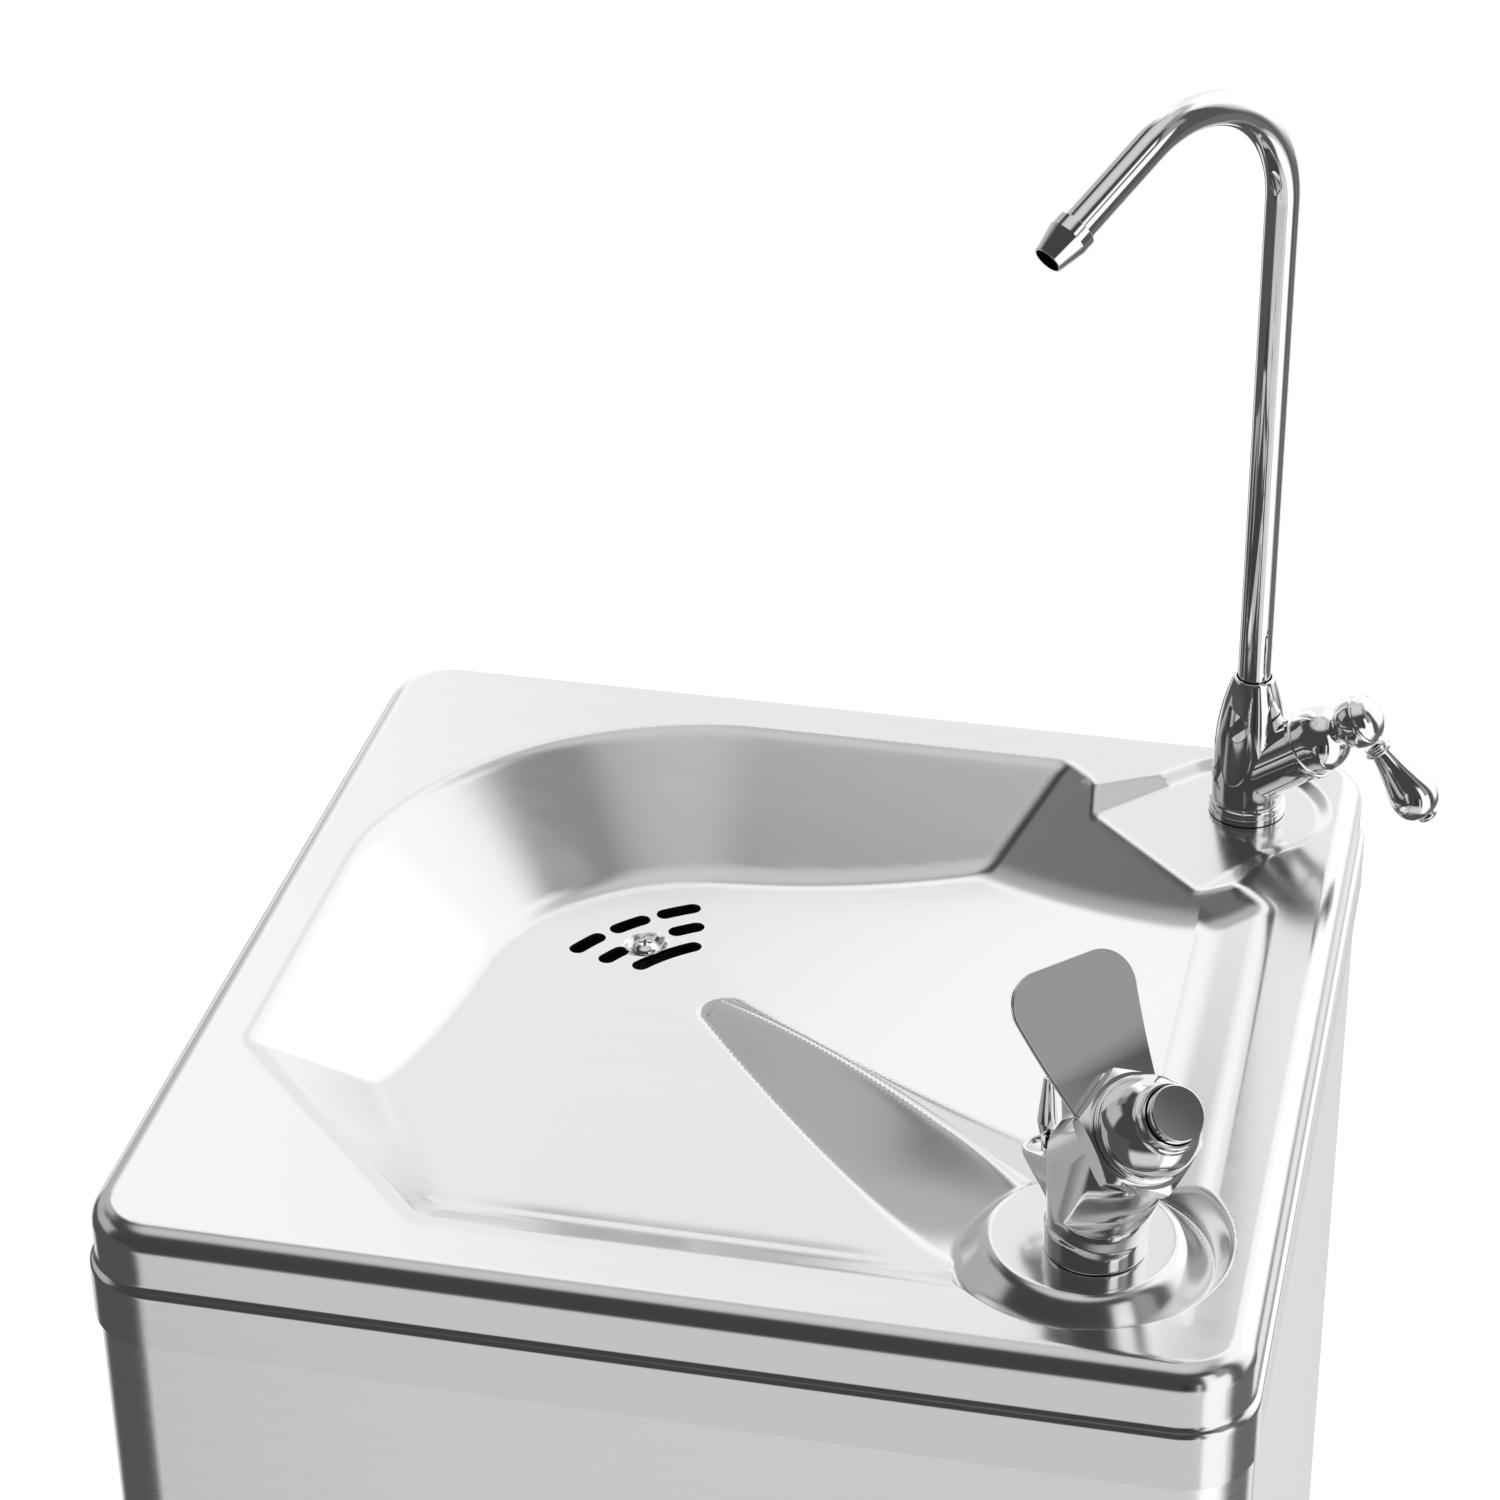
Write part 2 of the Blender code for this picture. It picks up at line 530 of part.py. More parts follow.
def make_bubbler():
    base = [(0, 12 * MM), (14.35 * MM, 9 * MM), (14.35 * MM, GAP), (7.3 * MM, GAP), (7.3 * MM, -34 * MM), (0, -34 * MM)]
    body = turned("bubbler_body", base, CHROME, BUBBLER_FRAME, 24)
    barrel = rod("bubbler_barrel", 13.6 * MM, -14 * MM, BARREL_END, None, BARREL_FRAME, 24, cutters)
    wing = make_cup_wing()
    combine(body, barrel, "UNION")
    combine(body, wing, "UNION")
    lip_cut = block("cup_lip_cutter", (60 * MM, 60 * MM, 40 * MM), (0, 0, 20 * MM), None,
                    BUBBLER_FRAME @ frame_on((-31.5 * MM, 0, 17 * MM), (-0.75, 0, 0.66)), cutters)
    well = rod("cup_well_cutter", 5.6 * MM, 13 * MM, 60 * MM, None, BUBBLER_FRAME @ at(-23.4 * MM, 0, 0), 24, cutters)
    bore = rod("barrel_bore_cutter", 9.1 * MM, 6 * MM, 60 * MM, None, BARREL_FRAME, 28, cutters)
    waterway = rod("bubbler_waterway_cutter", 2.5 * MM, -60 * MM, 26 * MM, None, BUBBLER_FRAME, 12, cutters)
    cut(body, lip_cut, well, bore, waterway)

    nozzle = [(0.7 * MM, 42 * MM), (1.5 * MM, 42 * MM), (2.4 * MM, 22 * MM), (3.4 * MM, 18 * MM),
              (3.4 * MM, 13.3 * MM), (0.7 * MM, 13.3 * MM)]
    turned("jet_nozzle", nozzle, CHROME, BUBBLER_FRAME @ at(-23.4 * MM, 0, 0), 16)

    make_guard()
    hexagon = corner_arc(0, 0, 18.3 * MM, 0, 360, 6)[:-1]
    nut = prism("bubbler_nut", hexagon, NUT_BACK, NUT_FRONT, CHROME,
                BARREL_FRAME @ Matrix.Rotation(math.radians(30), 4, "Z"))
    cut(nut, rod("nut_bore_cutter", 9.1 * MM, 0, 60 * MM, None, BARREL_FRAME, 28, cutters))

    dome = arc_profile(DOME_CENTRE, DOME_RADIUS, 50, -9, 6)
    bonnet = [(8.1 * MM, 43 * MM), (9.2 * MM, 43 * MM), (9.3 * MM, dome[0][1])] + dome[1:]
    bonnet += [(dome[-1][0], NUT_FRONT + GAP), (8.8 * MM, NUT_FRONT + GAP), (8.8 * MM, 8 * MM), (5.4 * MM, 8 * MM),
               (5.4 * MM, 32 * MM), (8.1 * MM, 32.5 * MM)]
    turned("button_bonnet", bonnet, CHROME, BARREL_FRAME, 18)

    button = [(0, BUTTON_FACE), (7.3 * MM, BUTTON_FACE), (7.76 * MM, BUTTON_FACE - 0.5 * MM), (7.76 * MM, 36 * MM),
              (2 * MM, 36 * MM), (2 * MM, 13 * MM), (0, 13 * MM)]
    turned("push_button", button, CHROME, BARREL_FRAME, 18)

    turns, coil = 5, 3.9 * MM
    low, high = 9 * MM, 31.5 * MM
    per_turn = 8
    count = turns * per_turn
    helix = [(coil * math.cos(i * math.tau / per_turn), coil * math.sin(i * math.tau / per_turn),
              low + (high - low) * i / count)
             for i in range(count + 1)]
    tube("button_spring", helix, 0.5 * MM, ZINC, 0, BARREL_FRAME)

    under = -SHEET - GAP
    ring("bubbler_gasket", 7.6 * MM, 13 * MM, under - 2 * MM, under, RUBBER, BUBBLER_FRAME)
    hexagon = corner_arc(0, 0, 12.5 * MM, 0, 360, 6)[:-1]
    locknut = prism("bubbler_locknut", hexagon, under - 2 * MM - GAP - 7 * MM, under - 2 * MM - GAP, BRASS, BUBBLER_FRAME)
    cut(locknut, rod("bubbler_locknut_cutter", 7.6 * MM, -60 * MM, 20 * MM, None, BUBBLER_FRAME, 20, cutters))


def make_cup_wing():
    """The web of the casting that carries the cup, a skin stretched round the base and the cup's end."""
    bm = bmesh.new()
    lower = bmesh.ops.create_circle(bm, segments=24, radius=14 * MM)["verts"]
    bmesh.ops.translate(bm, vec=(0, 0, 3 * MM), verts=lower)
    upper = bmesh.ops.create_circle(bm, segments=20, radius=7.4 * MM)["verts"]
    bmesh.ops.translate(bm, vec=(-24.2 * MM, 0, 17 * MM), verts=upper)
    crown = bmesh.ops.create_circle(bm, segments=20, radius=7.4 * MM)["verts"]
    bmesh.ops.translate(bm, vec=(-24.2 * MM, 0, 46 * MM), verts=crown)
    heel = bmesh.ops.create_circle(bm, segments=16, radius=12 * MM)["verts"]
    bmesh.ops.translate(bm, vec=(-2 * MM, 0, 34 * MM), verts=heel)
    wrapped = bmesh.ops.convex_hull(bm, input=bm.verts)
    loose = [item for item in wrapped["geom_interior"] if isinstance(item, bmesh.types.BMVert)]
    bmesh.ops.delete(bm, geom=loose, context="VERTS")
    bmesh.ops.recalc_face_normals(bm, faces=bm.faces)
    mesh = bpy.data.meshes.new("bubbler_wing")
    bm.to_mesh(mesh)
    bm.free()
    return add_object("bubbler_wing", mesh, None, BUBBLER_FRAME, cutters)


def make_guard():
    """A plate clamped by the nut: round foot about the barrel, widening to rounded shoulders that lean forward."""
    top, shoulder, foot = 50 * MM, 19.7 * MM, 11.2 * MM
    corner, taper = 10 * MM, 12
    bend, lean = 19 * MM, math.radians(8)
    outline = corner_arc(0, 0, foot, 180 + taper, 360 - taper, 10)
    outline += corner_arc(shoulder - corner, top - corner, corner, -taper, 90, 6)
    outline += corner_arc(corner - shoulder, top - corner, corner, 90, 180 + taper, 6)
    bm = bmesh.new()
    add_prism(bm, outline, GUARD_BACK, GUARD_FRONT)
    everything = bm.verts[:] + bm.edges[:] + bm.faces[:]
    bmesh.ops.bisect_plane(bm, geom=everything, plane_co=(0, bend, 0), plane_no=(0, 1, 0))
    above = [vert for vert in bm.verts if vert.co.y > bend + 0.1 * MM]
    bmesh.ops.rotate(bm, verts=above, cent=(0, bend, GUARD_FRONT), matrix=Matrix.Rotation(lean, 3, "X"))
    mesh = bpy.data.meshes.new("mouth_guard")
    bm.to_mesh(mesh)
    bm.free()
    guard = add_object("mouth_guard", mesh, CHROME, BARREL_FRAME)
    cut(guard, rod("guard_bore_cutter", 9.1 * MM, 0, 60 * MM, None, BARREL_FRAME, 24, cutters))


# ---------------------------------------------------------------- the bottle filler

FILLER_FRAME = at(*FILLER, DECK_Z)
VALVE_ORIGIN = Vector((*FILLER, DECK_Z + VALVE_START_Z))
VALVE_FRAME = frame_on(VALVE_ORIGIN, VALVE_AXIS)
HUB_POINT = VALVE_ORIGIN + VALVE_AXIS * HUB_DISTANCE
COLLAR_Z = 46.5 * MM


def make_filler():
    foot = -PAD_DEPTH + GAP
    profile = [(0, COLLAR_Z), (6 * MM, COLLAR_Z), (6.6 * MM, COLLAR_Z - 1 * MM), (8.2 * MM, 41 * MM),
               (9.7 * MM, 35 * MM), (10.9 * MM, 27 * MM), (11.6 * MM, 14 * MM), (11.6 * MM, 3 * MM),
               (11.3 * MM, 2.2 * MM), (11.9 * MM, 1.4 * MM), (11.5 * MM, 0.2 * MM), (12.1 * MM, -0.6 * MM),
               (12.1 * MM, foot), (6.3 * MM, foot), (6.3 * MM, -36 * MM), (0, -36 * MM)]
    body = turned("faucet_body", profile, CHROME, FILLER_FRAME, 20)
    branch = [(0, 24 * MM), (10.4 * MM, 24 * MM), (10.4 * MM, 0), (0, 0)]
    combine(body, turned("valve_branch", branch, None, VALVE_FRAME, 20, cutters), "UNION")
    socket = rod("spout_socket_cutter", SPOUT_RADIUS + GAP, COLLAR_Z - 12 * MM, 80 * MM, None, FILLER_FRAME, 20, cutters)
    seat = rod("valve_seat_cutter", 7.2 * MM, 12.5 * MM, 60 * MM, None, VALVE_FRAME, 20, cutters)
    waterway = rod("filler_waterway_cutter", 2.5 * MM, -60 * MM, 50 * MM, None, FILLER_FRAME, 12, cutters)
    cut(body, socket, seat, waterway)

    under = -PAD_DEPTH - SHEET - GAP
    ring("faucet_gasket", 6.6 * MM, 12 * MM, under - 2 * MM, under, RUBBER, FILLER_FRAME)
    hexagon = corner_arc(0, 0, 11 * MM, 0, 360, 6)[:-1]
    locknut = prism("faucet_locknut", hexagon, under - 2 * MM - GAP - 6 * MM, under - 2 * MM - GAP, BRASS, FILLER_FRAME)
    cut(locknut, rod("faucet_locknut_cutter", 6.6 * MM, -60 * MM, 20 * MM, None, FILLER_FRAME, 20, cutters))
    make_spout()
    make_valve()


def spout_route():
    """The swan neck: up, over the bend and down its straight run, in the filler's frame."""
    out = Vector((math.cos(SPOUT_YAW), math.sin(SPOUT_YAW), 0))
    up = Vector((0, 0, 1))
    route = [up * (COLLAR_Z - 11.5 * MM), up * SPOUT_BEND_Z]
    steps = 16
    for i in range(1, steps + 1):
        turn = SPOUT_BEND * i / steps
        route.append(up * (SPOUT_BEND_Z + SPOUT_BEND_RADIUS * math.sin(turn))
                     + out * SPOUT_BEND_RADIUS * (1 - math.cos(turn)))
    heading = out * math.sin(SPOUT_BEND) + up * math.cos(SPOUT_BEND)
    route.append(route[-1] + heading * SPOUT_RUN)
    return route, heading


def make_spout():
    route, heading = spout_route()
    spout = to_mesh(tube("spout_tube", route, SPOUT_RADIUS, CHROME, 4, FILLER_FRAME))
    smooth(spout, 50)
    end = FILLER_FRAME @ route[-1]
    low_bore = rod("spout_foot_cutter", 3.9 * MM, 0, COLLAR_Z + 10 * MM, None, FILLER_FRAME, 16, cutters)
    end_bore = rod("spout_end_cutter", 3.9 * MM, -14 * MM, 10 * MM, None, frame_on(end, heading), 16, cutters)
    cut(spout, low_bore, end_bore)
    tip = [(5 * MM, 11 * MM), (5.6 * MM, 11 * MM), (7.4 * MM, 2.5 * MM), (7.4 * MM, -3.5 * MM),
           (SPOUT_RADIUS + GAP, -3.5 * MM), (SPOUT_RADIUS + GAP, GAP), (4.2 * MM, GAP), (4.2 * MM, 2 * MM)]
    turned("spout_tip", tip, CHROME, frame_on(end, heading), 24)


def make_valve():
    dome = arc_profile(28.5 * MM, 10.7 * MM, 68, 0, 6)
    bonnet = dome + [(10.7 * MM, 26.6 * MM), (11.3 * MM, 26.4 * MM), (11.3 * MM, 24 * MM + GAP),
                     (6.9 * MM, 24 * MM + GAP), (6.9 * MM, 14 * MM), (2.6 * MM, 14 * MM), (2.6 * MM, dome[0][1])]
    turned("valve_bonnet", bonnet, CHROME, VALVE_FRAME, 18)

    ball = HUB_DISTANCE
    cap_edge = ball + 3.2 * MM
    hub = [(0, cap_edge - GAP), (7.5 * MM, cap_edge - GAP)] + arc_profile(ball, HUB_RADIUS, 16, -56, 6)
    neck = 38.6 * MM
    hub += [(4.2 * MM, neck + 0.6 * MM), (4.2 * MM, neck + 0.2 * MM), (2.3 * MM, neck), (2.3 * MM, 16 * MM), (0, 16 * MM)]
    turned("lever_hub", hub, CHROME, VALVE_FRAME, 18)

    cap = [(0, ball + 7.6 * MM), (3.2 * MM, ball + 7.2 * MM), (5.6 * MM, ball + 6 * MM), (7.2 * MM, ball + 4.4 * MM),
           (7.9 * MM, cap_edge + 0.6 * MM), (7.9 * MM, cap_edge), (0, cap_edge)]
    turned("lever_cap", cap, CHROME, VALVE_FRAME, 18)

    level = LEVER_AXIS - VALVE_AXIS * LEVER_AXIS.dot(VALVE_AXIS)
    grip = [(0, 39.4 * MM), (2.4 * MM, 39.2 * MM), (3.3 * MM, 38.2 * MM), (3 * MM, 37.2 * MM), (4.6 * MM, 36.6 * MM),
            (6.6 * MM, 34.4 * MM), (7.6 * MM, 31 * MM), (7.2 * MM, 27.4 * MM), (5.8 * MM, 22.6 * MM),
            (4.4 * MM, 17.8 * MM), (3.5 * MM, 13.4 * MM), (3.3 * MM, 12.2 * MM), (4.5 * MM, 11.6 * MM),
            (4.5 * MM, 10.8 * MM), (3.4 * MM, 10.2 * MM), (3.4 * MM, 8.9 * MM), (0, 8.9 * MM)]
    turned("lever_handle", grip, CHROME, frame_on(HUB_POINT, level), 16)


# ---------------------------------------------------------------- the cabinet

HALF_X = TOP_WIDTH / 2 - PANEL_INSET
HALF_Y = TOP_DEPTH / 2 - PANEL_INSET
PANEL_LOW = FOOT_HEIGHT
PANEL_HIGH = DECK_Z - 26 * MM
CORNER = BAND_CORNER - PANEL_INSET
SEAM_Y = -HALF_Y + 27 * MM
FLANGE = 9 * MM
BACK_RETURN = 20 * MM


def make_panels():
    round_x, round_y = HALF_X - CORNER, HALF_Y - CORNER
    front = [(-HALF_X + FLANGE, SEAM_Y), (-HALF_X, SEAM_Y)] + corner_arc(-round_x, -round_y, CORNER, 180, 270)
    front += corner_arc(round_x, -round_y, CORNER, 270, 360) + [(HALF_X, SEAM_Y), (HALF_X - FLANGE, SEAM_Y)]
    smooth(bent_sheet("front_panel", front, PANEL_LOW, PANEL_HIGH, PANEL_SHEET, BRUSHED))

    for name, side in (("right_panel", 1), ("left_panel", -1)):
        start = SEAM_Y + GAP
        line = [(HALF_X - FLANGE, start), (HALF_X, start)] + corner_arc(round_x, round_y, CORNER, 0, 90)
        line += [(round_x - BACK_RETURN, HALF_Y), (round_x - BACK_RETURN, HALF_Y - FLANGE)]
        if side < 0:
            line = [(-x, y) for x, y in line][::-1]
        smooth(bent_sheet(name, line, PANEL_LOW, PANEL_HIGH, PANEL_SHEET, BRUSHED))

    reach = round_x - BACK_RETURN - GAP
    back = [(reach, HALF_Y - FLANGE), (reach, HALF_Y), (-reach, HALF_Y), (-reach, HALF_Y - FLANGE)]
    panel = bent_sheet("back_panel", back, PANEL_LOW, PANEL_HIGH, PANEL_SHEET, BRUSHED)
    cut(panel, make_vents(), make_back_holes())
    for number, (x, z) in enumerate(BACK_SCREWS, 1):
        place = frame_on((x, HALF_Y + GAP, z), (0, 1, 0))
        head = [(0, 2 * MM), (2.4 * MM, 1.7 * MM), (3.6 * MM, 0.6 * MM), (3.6 * MM, 0), (1.7 * MM, 0), (1.7 * MM, -7 * MM),
                (0, -7 * MM)]
        turned(f"back_screw_{number}", head, CHROME, place, 14)


BACK_SCREWS = [(side * 95 * MM, height * MM) for height in (60, 900) for side in (-1, 1)]
VENT_LENGTH = 70 * MM
KNOB_X, KNOB_Z = 60 * MM, 620 * MM
INLET_X, INLET_Z = 88 * MM, 90 * MM
POWER_X, POWER_Z = -60 * MM, 90 * MM


def make_vents():
    """Two columns of long slots in the back panel, behind the condenser."""
    bm = bmesh.new()
    for column in (-1, 1):
        for row in range(8):
            z = 206 * MM + row * 24 * MM
            x = column * 42 * MM
            outline = [(x - VENT_LENGTH / 2, z - 3 * MM), (x + VENT_LENGTH / 2, z - 3 * MM),
                       (x + VENT_LENGTH / 2, z + 3 * MM), (x - VENT_LENGTH / 2, z + 3 * MM)]
            add_prism(bm, outline, -10 * MM, 10 * MM)
    mesh = bpy.data.meshes.new("vent_cutter")
    bm.to_mesh(mesh)
    bm.free()
    return add_object("vent_cutter", mesh, None, at(0, HALF_Y, 0) @ Matrix.Rotation(math.radians(90), 4, "X"), cutters)


def make_back_holes():
    """The panel's openings for the water inlet, the waste outlet, the knob and the screws."""
    bm = bmesh.new()
    rounds = [(INLET_X, INLET_Z, 9 * MM), (KNOB_X, KNOB_Z, 4 * MM), (WASTE_X, WASTE_Z, 13.4 * MM)]
    rounds += [(x, z, 2.2 * MM) for x, z in BACK_SCREWS]
    for x, z, radius in rounds:
        add_prism(bm, corner_arc(x, z, radius, 0, 360, 16)[:-1], -5 * MM, 5 * MM)
    mesh = bpy.data.meshes.new("back_hole_cutter")
    bm.to_mesh(mesh)
    bm.free()
    return add_object("back_hole_cutter", mesh, None,
                      at(0, HALF_Y, 0) @ Matrix.Rotation(math.radians(90), 4, "X"), cutters)


def make_base():
    inner_x, inner_y = HALF_X - FLANGE - 2 * GAP, HALF_Y - FLANGE - 2 * GAP
    corner = 14 * MM
    outline = []
    for index, (sign_x, sign_y) in enumerate(((1, 1), (-1, 1), (-1, -1), (1, -1))):
        outline += corner_arc(sign_x * (inner_x - corner), sign_y * (inner_y - corner), corner,
                              index * 90, index * 90 + 90, 3)
    tray = prism("base_plate", outline, FOOT_HEIGHT, FOOT_HEIGHT + 14 * MM, ZINC)
    inset = [(x * 0.985, y * 0.985) for x, y in outline]
    pocket = prism("base_pocket_cutter", inset, BASE_TOP, FOOT_HEIGHT + 30 * MM, None, None, cutters)
    cut(tray, pocket)
    for name, sign_x, sign_y in (("foot_front_left", -1, -1), ("foot_front_right", 1, -1),
                                 ("foot_back_left", -1, 1), ("foot_back_right", 1, 1)):
        place = at(sign_x * FOOT_X, sign_y * FOOT_Y, 0)
        hole = rod(name + "_hole", 4.4 * MM, 0, FOOT_HEIGHT + 30 * MM, None, place, 14, cutters)
        cut(tray, hole)
        profile = [(0, FOOT_HEIGHT + 10 * MM), (4 * MM, FOOT_HEIGHT + 10 * MM), (4 * MM, FOOT_HEIGHT - GAP),
                   (10 * MM, FOOT_HEIGHT - GAP), (10 * MM, 8 * MM), (16 * MM, 6 * MM), (17 * MM, 2 * MM), (16 * MM, 0),
                   (0, 0)]
        turned(name, profile, RUBBER, place, 20)


BASE_TOP = FOOT_HEIGHT + 1.5 * MM
FOOT_X = HALF_X - 38 * MM
FOOT_Y = HALF_Y - 38 * MM


# ---------------------------------------------------------------- inside the cabinet

TANK = (45 * MM, -20 * MM)
TANK_LOW, TANK_HIGH = 560 * MM, 780 * MM
TANK_RADIUS = 62 * MM
SHELF_Z = 520 * MM


def make_cooling():
    place = at(*TANK, 0)
    low, high = TANK_LOW, TANK_HIGH
    tank = [(0, high), (TANK_RADIUS * 0.6, high - 6 * MM), (TANK_RADIUS, high - 26 * MM), (TANK_RADIUS, low + 26 * MM),
            (TANK_RADIUS * 0.6, low + 6 * MM), (0, low)]
    turned("cold_tank", tank, STEEL, place, 24)
    coil_radius = TANK_RADIUS + 7 * MM
    turns, per_turn = 5, 12
    count = turns * per_turn
    helix = [(TANK[0] + coil_radius * math.cos(i * math.tau / per_turn),
              TANK[1] + coil_radius * math.sin(i * math.tau / per_turn),
              low + 45 * MM + 130 * MM * i / count) for i in range(count + 1)]
    tube("evaporator_coil", helix, 4 * MM, COPPER, 0)
    foam_in, foam_out = coil_radius + 5 * MM, coil_radius + 24 * MM
    foam = [(foam_in, high + 14 * MM), (foam_out, high + 14 * MM), (foam_out, SHELF_Z + 3 * MM + GAP),
            (12 * MM, SHELF_Z + 3 * MM + GAP), (12 * MM, low - 8 * MM), (TANK_RADIUS * 0.7, low - 8 * MM),
            (foam_in, low + 10 * MM)]
    turned("tank_insulation", foam, FOAM, place, 20)
    shelf = block("tank_shelf", (2 * (HALF_X - FLANGE - 4 * MM), 2 * (HALF_Y - 20 * MM), 3 * MM),
                  (0, -6 * MM, SHELF_Z + 1.5 * MM), ZINC)
    cut(shelf, rod("shelf_tank_cutter", 14 * MM, 400 * MM, 600 * MM, None, place, 16, cutters),
        rod("shelf_waste_cutter", 15 * MM, 400 * MM, 600 * MM, None, at(WASTE_X, DRAIN[1], 0), 16, cutters),
        rod("shelf_tube_cutter", 8 * MM, 400 * MM, 600 * MM, None, at(SUPPLY_X, SUPPLY_Y, 0), 12, cutters))


SUPPLY_X, SUPPLY_Y = -80 * MM, -95 * MM


def make_compressor():
    x, y = -10 * MM, -45 * MM
    low = BASE_TOP + 14 * MM
    place = at(x, y, low)
    shell = [(0, 150 * MM), (25 * MM, 148 * MM), (48 * MM, 136 * MM), (60 * MM, 112 * MM), (62 * MM, 80 * MM),
             (64 * MM, 78 * MM), (64 * MM, 73 * MM), (62 * MM, 71 * MM), (60 * MM, 34 * MM), (48 * MM, 12 * MM),
             (30 * MM, 4 * MM), (30 * MM, 2 * MM), (0, 2 * MM)]
    body = turned("compressor", shell, BLACK_PAINT, place, 20)
    feet = block("compressor_feet", (170 * MM, 96 * MM, 3 * MM), (0, 0, 2.6 * MM), None, place, cutters)
    combine(body, feet, "UNION")
    for number, (sign_x, sign_y) in enumerate(((-1, -1), (1, -1), (-1, 1), (1, 1)), 1):
        spot = at(x + sign_x * 73 * MM, y + sign_y * 38 * MM, 0)
        hole = rod(f"compressor_foot_hole_{number}", 4.5 * MM, 0, 100 * MM, None, spot, 12, cutters)
        cut(body, hole)
        profile = [(0, low + 7 * MM), (4.1 * MM, low + 7 * MM), (4.1 * MM, low + 0.8 * MM), (9 * MM, low + 0.8 * MM),
                   (8 * MM, BASE_TOP + 7 * MM), (10 * MM, BASE_TOP + GAP), (0, BASE_TOP + GAP)]
        turned(f"compressor_mount_{number}", profile, RUBBER, spot, 14)


CONDENSER_Y = 118 * MM
FAN_Z = 290 * MM
FAN_PLACE = frame_on((0, 66 * MM, FAN_Z), (0, 1, 0))


def make_condenser():
    rows, half = 8, 85 * MM
    bottom, pitch = FAN_Z - 84 * MM, 24 * MM
    bend = pitch / 2
    points = []
    for row in range(rows):
        z = bottom + row * pitch
        side = 1 if row % 2 == 0 else -1
        points.append((-side * half, CONDENSER_Y, z))
        points.append((side * half, CONDENSER_Y, z))
        if row < rows - 1:
            for step in range(1, 4):
                turn = math.radians(-90 + 45 * step)
                points.append((side * (half + bend * math.cos(turn)), CONDENSER_Y, z + bend + bend * math.sin(turn)))
    tube("condenser_coil", points, 3 * MM, COPPER, 1)
    fins = block("condenser_fins", (150 * MM, 22 * MM, 196 * MM), (0, CONDENSER_Y, FAN_Z), ZINC)
    bm = bmesh.new()
    for row in range(rows):
        z = bottom + row * pitch
        outline = corner_arc(CONDENSER_Y, z, 3.5 * MM, 0, 360, 8)[:-1]
        add_prism(bm, outline, -200 * MM, 200 * MM)
    mesh = bpy.data.meshes.new("fin_bore_cutter")
    bm.to_mesh(mesh)
    bm.free()
    turn = Matrix(((0, 0, 1, 0), (1, 0, 0, 0), (0, 1, 0, 0), (0, 0, 0, 1)))
    cut(fins, add_object("fin_bore_cutter", mesh, None, turn, cutters))

    shroud = block("fan_shroud", (176 * MM, 30 * MM, 176 * MM), (0, 87 * MM, FAN_Z), BLACK_PAINT)
    mouth = rod("fan_mouth_cutter", 74 * MM, -40 * MM, 60 * MM, None, FAN_PLACE, 32, cutters)
    cut(shroud, mouth)
    stay = block("fan_stay", (160 * MM, 3 * MM, 10 * MM), (0, 73.6 * MM, FAN_Z), None, None, cutters)
    combine(shroud, stay, "UNION")
    boss = rod("fan_boss_cutter", 6 * MM, -10 * MM, 20 * MM, None, FAN_PLACE, 16, cutters)
    cut(shroud, boss)
    motor = [(0, 12 * MM), (2 * MM, 12 * MM), (2 * MM, 9 * MM), (5.5 * MM, 9 * MM), (5.5 * MM, 5.6 * MM),
             (24 * MM, 5.6 * MM), (24 * MM, -30 * MM), (0, -30 * MM)]
    turned("fan_motor", motor, BLACK_PAINT, FAN_PLACE, 20)
    make_rotor()


def make_rotor():
    hub = [(0, 24 * MM), (16 * MM, 23 * MM), (18 * MM, 20 * MM), (18 * MM, 12.6 * MM), (0, 12.6 * MM)]
    rotor = turned("fan_rotor", hub, BLACK_PAINT, FAN_PLACE, 20)
    blades = 5
    for number in range(blades):
        spin = Matrix.Rotation(math.tau * number / blades, 4, "Z")
        lean = Matrix.Rotation(math.radians(28), 4, "X")
        blade = block(f"fan_blade_{number + 1}", (54 * MM, 30 * MM, 1.6 * MM), (43 * MM, 0, 0), None,
                      FAN_PLACE @ at(0, 0, 19.5 * MM) @ spin @ lean, cutters)
        combine(rotor, blade, "UNION")


